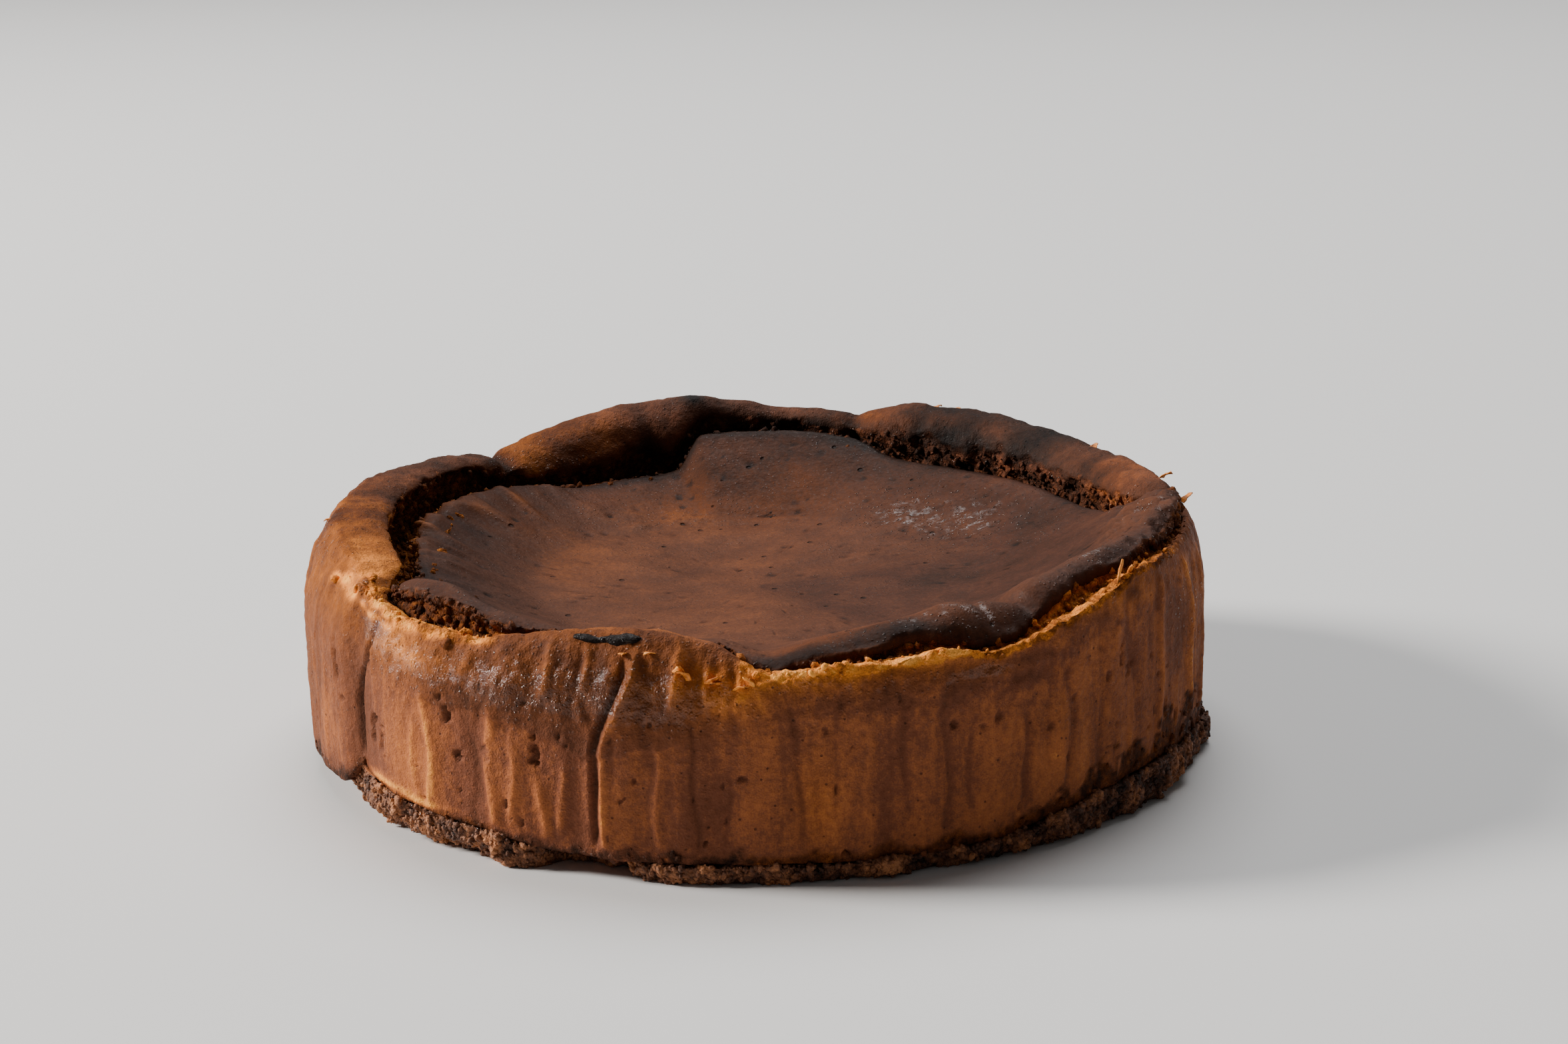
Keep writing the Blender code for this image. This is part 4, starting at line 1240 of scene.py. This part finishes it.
# Folds and humps of the skin: angle, radius, half width in degrees, half depth in millimetres and
# height in millimetres.
SKIN_HUMPS = (
    (25.5, 100, 3.2, 6, 1.2),
    (29.4, 98, 0.8, 6, -0.7),
    (32, 100, 2.4, 5.5, 1),
    (36.6, 98, 1.3, 8, -1.6),
    (40.5, 97, 3, 6, 0.7),
    (13.5, 99, 1.6, 4, -0.35),
    (20.5, 99, 1.6, 4, -0.3),
    (62, 95, 6, 5, 0.5),
    (76, 97, 7, 5, 0.8),
    (69, 92, 2, 6, -0.6),
    (-47, 94, 3.5, 4, 0.8),
    (-40, 92, 2, 4, -0.5),
    (-144, 72, 4, 4, 0.6),
    (-150, 60, 5, 2, 0.5),
    (172, 58, 14, 1.5, 0.5),
    (172, 61, 14, 1.5, -0.4),
    (-165, 60, 8, 1.4, 0.4),
    (128, 88, 24, 8, 1.8),
    (-104, 85, 22, 5, 1),
)
# Where the skin reaches further over the crack: angle, half width, and millimetres.
REACHES = ((128.0, 26.0, 2.2), (-104.0, 24.0, 1.8))
# The front right lip is rolled over, without loose crumb: the angles where that starts and ends.
LIP_ROLLS = (-7.0, 3.0)
LIP_UNROLLS = (64.0, 50.0)
SKIN_HONEY = (               # as SKIN_PATCHES, but how moist
    (20, -98, 30, 8, 0.8),
    (-20, 68, 22, 14, 1),
    (12, 72, 22, 14, 1),
    (50, 60, 20, 12, 0.3),
    (0, -20, 60, 60, 0.15),
    (-58, 44, 12, 18, 0.6),
    (-50, 20, 14, 20, 0.3),
)
SKIN_POCKETS = 560
SKIN_POCKETS_REACH = 0.098
SKIN_POCKET_SIZES = (0.40 * MM, 1.3 * MM)
SKIN_POCKET_SEED = 71
SKIN_POCKET_DEPTH = 0.35 * MM
# Pockets are darker by this: painted shade in their hollows.
SKIN_POCKET_SHADE = 0.22
# Painted shade in the skin's hollows and painted light on its folds and puckers:
SKIN_FOLD_SHADE = 0.05        # to the millimetre

# Where the skin blistered, as SKIN_PATCHES; and its random relief: height and size in
# millimetres, and seed.
BLISTERED = ((58.0, 36.0, 20.0, 18.0, 1.0), (38.0, 50.0, 14.0, 12.0, 0.6),
             (76.0, 8.0, 10.0, 8.0, 0.5))
# The puckered left side and the wavy right edge: angle and half width, and the radii between
# which each comes in.
PUCKERED, PUCKERED_FROM = (-108.0, 34.0), (0.066, 0.078)
WAVY, WAVY_FROM = (76.0, 16.0), (0.084, 0.094)
LIP_CRUMB_EDGE = (0.9 * MM, 0.2 * MM)    # from the lip's edge to where it is all crumb
BLISTER_RELIEF = ((0.35, 2.6, 79), (0.18, 1.3, 87))
WAVE_RELIEF = ((1.4, 2.6, 94), (0.6, 1.3, 99))
DISH_RELIEF = ((0.55, 15.0, 81), (0.24, 6.0, 82), (0.08, 2.2, 83), (0.03, 1.0, 84))
LIP_CRUMB_RELIEF = ((0.45, 1.8, 85), (0.35, 0.9, 86))


def dish_relief(angles, radius):
    """Low swellings of the sunken skin, and the puckers below its left edge, as in the solid."""
    turn = np.radians(angles)
    swell = sum(size * np.sin(count * turn + phase + twist * radius)
                for count, size, phase, twist in SWELLINGS)
    near_left = np.exp(-((angles - PUCKER_ANGLE) / PUCKER_SPREAD) ** 2)
    grown = np.clip((radius - PUCKER_RADIUS) / PUCKER_GROWTH, 0.0, 1.0)
    puckers = PUCKER_SIZE * near_left * grown * np.sin(PUCKER_COUNT * turn)
    return swell * np.clip(radius / FLOOR_RADIUS, 0.0, 1.0) + puckers


def skin_height(angles, radius, rim):
    """Height of the skin's top at a radius, from the flat middle to the curled lip."""
    share = np.clip((radius - FLOOR_RADIUS) / (rim["lip_r"] - FLOOR_RADIUS), 0.0, 1.0)
    sink = CENTRE_SINK * (1.0 - np.clip(radius / FLOOR_RADIUS, 0.0, 1.0) ** 2)
    curl = LIP_CURL * np.clip(radius - rim["lip_r"], 0.0, None) ** 2
    fade = ease(radius, rim["lip_r"], rim["lip_r"] - 6.0 * MM)
    return slope_height(share, rim) - sink - curl + fade * dish_relief(angles, radius)


def flat_spots(points, table):
    """Sum of soft patches from a table of x, y, half width, half depth and amount."""
    total = np.zeros(points.shape[:-1])
    for x, y, half_width, half_depth, amount in table:
        far = ((points[..., 0] - x * MM) / (half_width * MM)) ** 2
        total += amount * np.exp(-far - ((points[..., 1] - y * MM) / (half_depth * MM)) ** 2)
    return total


def ridged(points, height, size, seed):
    """Random relief with narrow crests, like wrinkled skin, of a height and a size in mm."""
    return height * ((1.0 - np.abs(lumps(points, size * MM, seed))) ** 3 - 0.4)


angles = column_angles(SKIN_COLUMNS)
rim = read_table(STRETCH_FIELDS, STRETCHES, angles, MM)
brown = read_table(SKIN_BROWN_FIELDS, SKIN_BROWNED, angles)
edge_r, edge_z = lip_edge(angles, rim)
circle = turned(angles, 0.095, 0.0)
scallops = bell(angles, -112.0, 26.0) * layered(circle, (1.3, 5.5, 93))
torn_back = layered(circle, (0.7, 3.0, 72), (0.4, 1.2, 73)) + scallops
torn_back = torn_back + sum(reach * bell(angles, at, half_width)
                            for at, half_width, reach in REACHES)
edge_r = edge_r + MM * torn_back
thickness = LIP_THICKNESS * (1.0 + layered(circle, (0.25, 3.0, 74)))
thickness = thickness * (1.0 - 0.35 * bell(angles, -46.0, 12.0))     # worn thin at the front left

# The outline of each column: out under the skin, up its torn face and in over the lip.
slope_width = rim["lip_r"] - FLOOR_RADIUS
rings = []
for share in SKIN_UNDER_SHARES:
    radius = FLOOR_RADIUS + slope_width * share
    rings.append((radius, skin_height(angles, radius, rim) - SKIN_UNDER))
rings.append((edge_r - 1.6 * MM, edge_z - 0.9 * thickness))
for share in np.linspace(0.0, 1.0, FACE_RINGS):
    rings.append((edge_r - 0.3 * MM * abs(2.0 * share - 1.0) ** 3,
                  edge_z - thickness * (1.0 - share)))
face_end = len(rings) - 1
across = [edge_r + (rim["lip_r"] - edge_r) * share
          for share in np.arange(1, LIP_RINGS + 1) / LIP_RINGS]
across += [FLOOR_RADIUS + slope_width * share
           for share in 1.0 - np.arange(1, SLOPE_RINGS + 1) / SLOPE_RINGS]
across += [FLOOR_RADIUS * share
           for share in 1.0 - np.arange(1, FLOOR_RINGS + 1) / (FLOOR_RINGS + 1)]
rings += [(radius, skin_height(angles, radius, rim)) for radius in across]
grid = np.array([turned(angles, *ring) for ring in rings])

# Which part each point is on, and where the skin is broken to crumb.
ring = np.arange(len(rings))[:, None]
radius = np.hypot(grid[..., 0], grid[..., 1])
flat = grid * (1.0, 1.0, 0.0)
on_top = (ring > face_end).astype(float)
on_face = ((ring > len(SKIN_UNDER_SHARES)) & (ring <= face_end)).astype(float)
from_edge = edge_r - radius + 0.5 * MM * lumps(grid, 1.6 * MM, 75)
torn_width = 0.8 * MM * bell(angles, 13.0, 9.0)
crumble = np.where(ring <= face_end, 1.0, ease(from_edge - torn_width, *LIP_CRUMB_EDGE))
rolled = ease(angles, *LIP_ROLLS) * ease(angles, *LIP_UNROLLS)
crumble = crumble * (1.0 - 0.8 * rolled)

# Relief: puckers at the left, blisters at the back right, a wavy right edge, and low lumps.
middle = ease(radius, 6.0 * MM, 14.0 * MM)
left_side = bell(angles, *PUCKERED) * ease(radius, *PUCKERED_FROM)
fan = np.stack((np.broadcast_to(np.radians(angles) * 0.09, radius.shape),
                radius * 0.25, 0.0 * radius), axis=-1)
puckers = left_side * MM * (ridged(fan, 1.9, 6.5, 76) + layered(fan, (0.6, 2.4, 77)))
blisters = np.clip(flat_spots(grid, BLISTERED), 0.0, 1.0) * MM * (
    ridged(flat, 0.45, 5.0, 78) + layered(flat, *BLISTER_RELIEF))
wave = bell(angles, *WAVY) * ease(radius, *WAVY_FROM) * MM * (
    ridged(flat * (0.6, 1.0, 1.0), 2.6, 5.5, 80) + layered(flat, *WAVE_RELIEF))
relief = puckers + blisters + wave + middle * MM * layered(flat, *DISH_RELIEF)
relief = relief + MM * spots(angles, radius, SKIN_HUMPS)
draw = np.random.RandomState(SKIN_POCKET_SEED)
pocket = np.zeros(radius.shape)
for _ in range(SKIN_POCKETS):
    far = SKIN_POCKETS_REACH * math.sqrt(draw.uniform(0.005, 1.0))
    turn = draw.uniform(-math.pi, math.pi)
    size = SKIN_POCKET_SIZES[0] + (SKIN_POCKET_SIZES[1] - SKIN_POCKET_SIZES[0]) * draw.rand() ** 3
    near = np.hypot(grid[..., 0] - far * math.sin(turn), grid[..., 1] + far * math.cos(turn))
    pocket = np.maximum(pocket, ease(near, 1.3 * size, 0.5 * size) * draw.uniform(0.3, 1.0))
relief = (relief - SKIN_POCKET_DEPTH * pocket) * on_top * (1.0 - 0.6 * crumble)
relief = relief + crumble * (on_face + on_top) * MM * layered(grid, *LIP_CRUMB_RELIEF)
grid = grid + outward(grid) * relief[..., None]

# How browned and how moist each point is.
tone = brown["floor"] + (brown["slope"] - brown["floor"]) * ease(radius, 0.046, 0.068)
tone = tone + (brown["rim"] - tone) * ease(rim["lip_r"] - radius, 20.0 * MM, 3.0 * MM)
tone = tone + (brown["lip"] - tone) * ease(edge_r - radius, 5.5 * MM, 1.5 * MM)
tone = tone + (brown["face"] - tone) * crumble
tone = tone + flat_spots(grid, SKIN_PATCHES) * on_top
# Darker in the pockets and hollows and paler on the folds: painted shade and light.
tone = tone + SKIN_POCKET_SHADE * pocket * on_top - SKIN_FOLD_SHADE * (relief + puckers) / MM
oil = flat_spots(grid, SKIN_OILY) * on_top
honeyed = flat_spots(grid, SKIN_HONEY) + 0.8 * pocket + 0.6 * crumble
sunken_skin = closed_body("sunken_skin", grid,
                          (0.0, 0.0, FLOOR_HEIGHT - CENTRE_SINK - SKIN_UNDER),
                          (0.0, 0.0, FLOOR_HEIGHT - CENTRE_SINK),
                          {"browning": tone, "oil": oil, "crumble": crumble,
                           "grains": (on_face + 0.3 * on_top) * crumble ** 2,
                           "honeyed": honeyed})

SKIN_BROWNING = (            # top skin as it browns, duller than the wall
    (0.00, (0.830, 0.460, 0.150)),
    (0.20, (0.520, 0.190, 0.055)),
    (0.40, (0.200, 0.065, 0.024)),
    (0.56, (0.098, 0.034, 0.016)),
    (0.70, (0.050, 0.018, 0.010)),
    (0.84, (0.018, 0.008, 0.005)),
    (1.00, (0.006, 0.004, 0.003)),
)
skin_finish = baked("sunken_skin", SKIN_BROWNING, mottle=0.20, grain=0.14, grain_size=0.6 * MM,
                    crumb_depth=1.0 * MM, pore_size=1.3 * MM, dry=0.58, gloss=0.10)
sunken_skin.data.materials.append(skin_finish)
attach(sunken_skin, "root")
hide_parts("cheesecake")

# ---- Torn crumbs -----------------------------------------------------------------------------
# Bits of custard and crust that broke loose where the rim tore: they fill the cracks and cling to
# the broken edge of the skin. Each takes its browning from the spot that it lies on.

CRACK_GRAINS = 3.5e5         # grains to the square metre
LIP_GRAINS = 5.0e5
TORN_GRAIN_SIZES = (0.20 * MM, 1.20 * MM)

crack_crumbs = scatter("crack_crumbs", baked_custard, CRACK_GRAINS, 91, *TORN_GRAIN_SIZES,
                       custard_finish)
lip_crumbs = scatter("lip_crumbs", sunken_skin, LIP_GRAINS, 92, *TORN_GRAIN_SIZES,
                     skin_finish)
for crumbs in (crack_crumbs, lip_crumbs):
    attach(crumbs, "root")

# ---- Peeled flakes ---------------------------------------------------------------------------
# Paper-thin shards of crust that lifted off with the baking paper and stand up along the rim,
# amber where the light comes through.

# Angle, radius, height of the root, length, width, lean outwards, turn about the upright, how far
# the tip curls; lengths in millimetres, angles in degrees.
FLAKES = (
    (-9.4, 109.6, 46, 5.2, 3, 10, 20, 40),
    (-8.2, 109.8, 46.4, 6, 2.2, 24, -30, 60),
    (-5.6, 109.8, 45.6, 5, 2.6, 30, 30, 50),
    (-4.6, 109.6, 45.4, 5.6, 2, 40, -20, 70),
    (-2.6, 110, 44.6, 4.6, 2.4, 44, 40, 60),
    (-1, 110.2, 45, 4.2, 2, 20, -40, 40),
    (-16, 107.5, 51, 3.4, 2.2, 40, 10, 60),
    (-12.6, 107, 51.6, 3, 2, 50, -30, 60),
    (49.4, 109.4, 54, 7.5, 1.8, -4, 30, 20),
    (51.6, 109.2, 55, 5, 2, 8, -25, 30),
    (46.5, 109.2, 52.4, 3.6, 2, 10, 20, 40),
    (88, 107.2, 57, 4.4, 2.2, 30, 30, 50),
    (96, 104.8, 60, 3.6, 2.4, 30, -30, 60),
    (118, 103, 58.8, 3.6, 2, 34, 30, 50),
    (146, 103.4, 62.6, 2.6, 2, 60, 20, 50),
    (150, 103.4, 62.2, 2.8, 2.2, 50, -20, 60),
    (-88, 105, 58, 2.6, 1.8, 60, 20, 60),
    (-59, 106, 54.6, 3, 2.2, 40, -20, 60),
)
FLAKE_THICKNESS = 0.22 * MM
FLAKE_STEPS = 9              # points along it
FLAKE_SPREAD = 5             # and across
FLAKE_CRUMPLE = 0.35         # in millimetres
FLAKE_TONE = 0.24


def flake_grid(angle, radius, height, length, width, lean, turn, curl):
    """Points along and across a curled shard, with its two faces a thickness apart."""
    along = np.linspace(0.0, 1.0, FLAKE_STEPS)[:, None]
    across = np.linspace(-0.5, 0.5, FLAKE_SPREAD)[None, :]
    bend = np.radians(lean + curl * along)
    out = np.cumsum(np.sin(bend), axis=0) * length * MM / FLAKE_STEPS
    up = np.cumsum(np.cos(bend), axis=0) * length * MM / FLAKE_STEPS
    taper = (1.0 - 0.75 * along ** 1.5) * (1.0 + 0.2 * np.sin(9.0 * along + angle))
    side = across * width * MM * taper
    cup = 4.0 * across ** 2 * 0.25 * width * MM
    x = out - cup
    twist = math.radians(turn)
    outwards = radius * MM + x * math.cos(twist) - side * math.sin(twist)
    sideways = x * math.sin(twist) + side * math.cos(twist)
    upwards = height * MM + up + 0.0 * across
    return set_round(angle, outwards, sideways, upwards)


flake_finish = baked("peeled_flakes", mottle=0.3, grain=0.4, grain_depth=0.05 * MM, dry=0.45,
                     gloss=0.3)
for number, row in enumerate(FLAKES):
    face = flake_grid(*row)
    normal = np.cross(np.gradient(face, axis=0), np.gradient(face, axis=1))
    normal /= np.maximum(np.linalg.norm(normal, axis=-1, keepdims=True), 1e-12)
    face = face + normal * FLAKE_CRUMPLE * MM * lumps(face, 1.2 * MM, 94)[..., None]
    grid = np.concatenate((face[:, ::-1], face - normal * FLAKE_THICKNESS), axis=1)
    tone = FLAKE_TONE + 0.14 * lumps(grid, 1.6 * MM, 95)
    flake = closed_body(f"peeled_flake_{number:02d}", grid, grid[0].mean(0), grid[-1].mean(0),
                        {"browning": tone, "oil": 0.4, "crumble": 0.0, "honeyed": 0.9})
    flake.data.materials.append(flake_finish)
    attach(flake, "root")

# ---- Burnt beads -----------------------------------------------------------------------------
# Two beads of sugary custard that bubbled out over the front left lobe and burnt to a glossy
# black crust.

# Angle, radius, height, half length, half width, half thickness in millimetres, tilt in degrees.
BEADS = (
    (-20.8, 104.7, 53.7, 4.4, 1.9, 0.9, -4),
    (-18.4, 105.2, 53.6, 2, 1.4, 0.9, -20),
    (-16.4, 105.3, 53.9, 4.6, 1.8, 1.4, 6),
)
BEAD_RINGS = 24
BEAD_COLUMNS = 40

turn = 2.0 * math.pi * np.arange(BEAD_COLUMNS) / BEAD_COLUMNS
for number, (angle, far, high, half_long, half_wide, half_thick, tilt) in enumerate(BEADS):
    grid = np.array([np.stack((-math.cos(polar) + 0.0 * turn, math.sin(polar) * np.cos(turn),
                               math.sin(polar) * np.sin(turn)), axis=-1)
                     for polar in math.pi * np.arange(1, BEAD_RINGS) / BEAD_RINGS])
    swollen = 1.0 + 0.22 * lumps(grid, 0.8, 96 + number) + 0.10 * lumps(grid, 0.35, 97 + number)
    grid = grid * swollen[..., None] * (half_long * MM, half_wide * MM, half_thick * MM)
    lean = math.radians(tilt)
    side = grid[..., 0] * math.cos(lean) - grid[..., 2] * math.sin(lean)
    up = grid[..., 0] * math.sin(lean) + grid[..., 2] * math.cos(lean)
    grid = set_round(angle, far * MM - grid[..., 1], side, high * MM + up)
    bead = closed_body(f"burnt_bead_{number}", grid, grid[0].mean(0), grid[-1].mean(0),
                       {"browning": 1.0, "oil": 0.60, "crumble": 0.0})
    bead.data.materials.append(custard_finish)
    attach(bead, "root")

# ---- Camera, floor and light -----------------------------------------------------------------
# The photograph's own view, a plain pale floor, a soft light from the left, a broad dimmer one
# high up behind that glazes the sunken top, and pale daylight all round.

CAMERA_PLACE = (-0.00382, -0.74147, 0.24498)
CAMERA_TURN = (75.5346, 1.1092, -1.1692)      # degrees
CAMERA_LENS = 70.0
SENSOR_WIDTH = 36.0
FLOOR_SIZE = 12.0
FLOOR_COLOUR = (0.72, 0.71, 0.70)
DAYLIGHT = (1.0, 1.0, 1.0)
DAYLIGHT_STRENGTH = 0.10
WALL_GLOW = 0.28             # a pale wall far behind, which glazes what it grazes
# Name, place, size, power and colour of each light; all are aimed at the cake.
LIGHTS = (
    ("key", (-2.80, 0.40, 1.54), 0.85, 205.0, (1.0, 0.965, 0.92)),
    ("fill", (0.20, 1.55, 2.95), 2.60, 97.0, (0.98, 0.99, 1.0)),
)
AIM = (0.0, 0.0, 0.04)

camera = bpy.data.objects.new("camera", bpy.data.cameras.new("camera"))
bpy.context.scene.collection.objects.link(camera)
camera.location = CAMERA_PLACE
camera.rotation_euler = [math.radians(turn) for turn in CAMERA_TURN]
camera.data.lens = CAMERA_LENS
camera.data.sensor_width = SENSOR_WIDTH
bpy.context.scene.camera = camera

half = 0.5 * FLOOR_SIZE
mesh = bpy.data.meshes.new("floor")
mesh.from_pydata([(-half, -half, 0.0), (half, -half, 0.0), (half, half, 0.0), (-half, half, 0.0)],
                 [], [(0, 1, 2, 3)])
floor = bpy.data.objects.new("floor", mesh)
bpy.context.scene.collection.objects.link(floor)
floor_finish = bpy.data.materials.new("floor")
floor_finish.use_nodes = True
floor_shader = floor_finish.node_tree.nodes["Principled BSDF"]
floor_shader.inputs["Base Color"].default_value = (*FLOOR_COLOUR, 1.0)
floor_shader.inputs["Roughness"].default_value = 0.6
mesh.materials.append(floor_finish)

for name, place, size, power, colour in LIGHTS:
    light = bpy.data.lights.new(name, "AREA")
    light.shape = "DISK"
    light.size = size
    light.energy = power
    light.color = colour
    lamp = bpy.data.objects.new(name, light)
    bpy.context.scene.collection.objects.link(lamp)
    lamp.location = place
    lamp.rotation_euler = (Vector(AIM) - Vector(place)).to_track_quat("-Z", "Y").to_euler()

world = bpy.data.worlds.new("daylight")
world.use_nodes = True
world.node_tree.nodes.clear()
graph = Graph(world.node_tree)
way = graph.node("ShaderNodeTexCoord", {}, {}, "Object")
behind = graph.node("ShaderNodeSeparateXYZ", {}, {0: way}, 1).eased(0.1, 0.8)
low = graph.node("ShaderNodeSeparateXYZ", {}, {0: way}, 2).eased(0.65, 0.30)
glow = DAYLIGHT_STRENGTH + WALL_GLOW * behind * low
sky = graph.node("ShaderNodeBackground", {}, {"Color": (*DAYLIGHT, 1.0), "Strength": glow})
graph.node("ShaderNodeOutputWorld", {}, {"Surface": sky})
bpy.context.scene.world = world
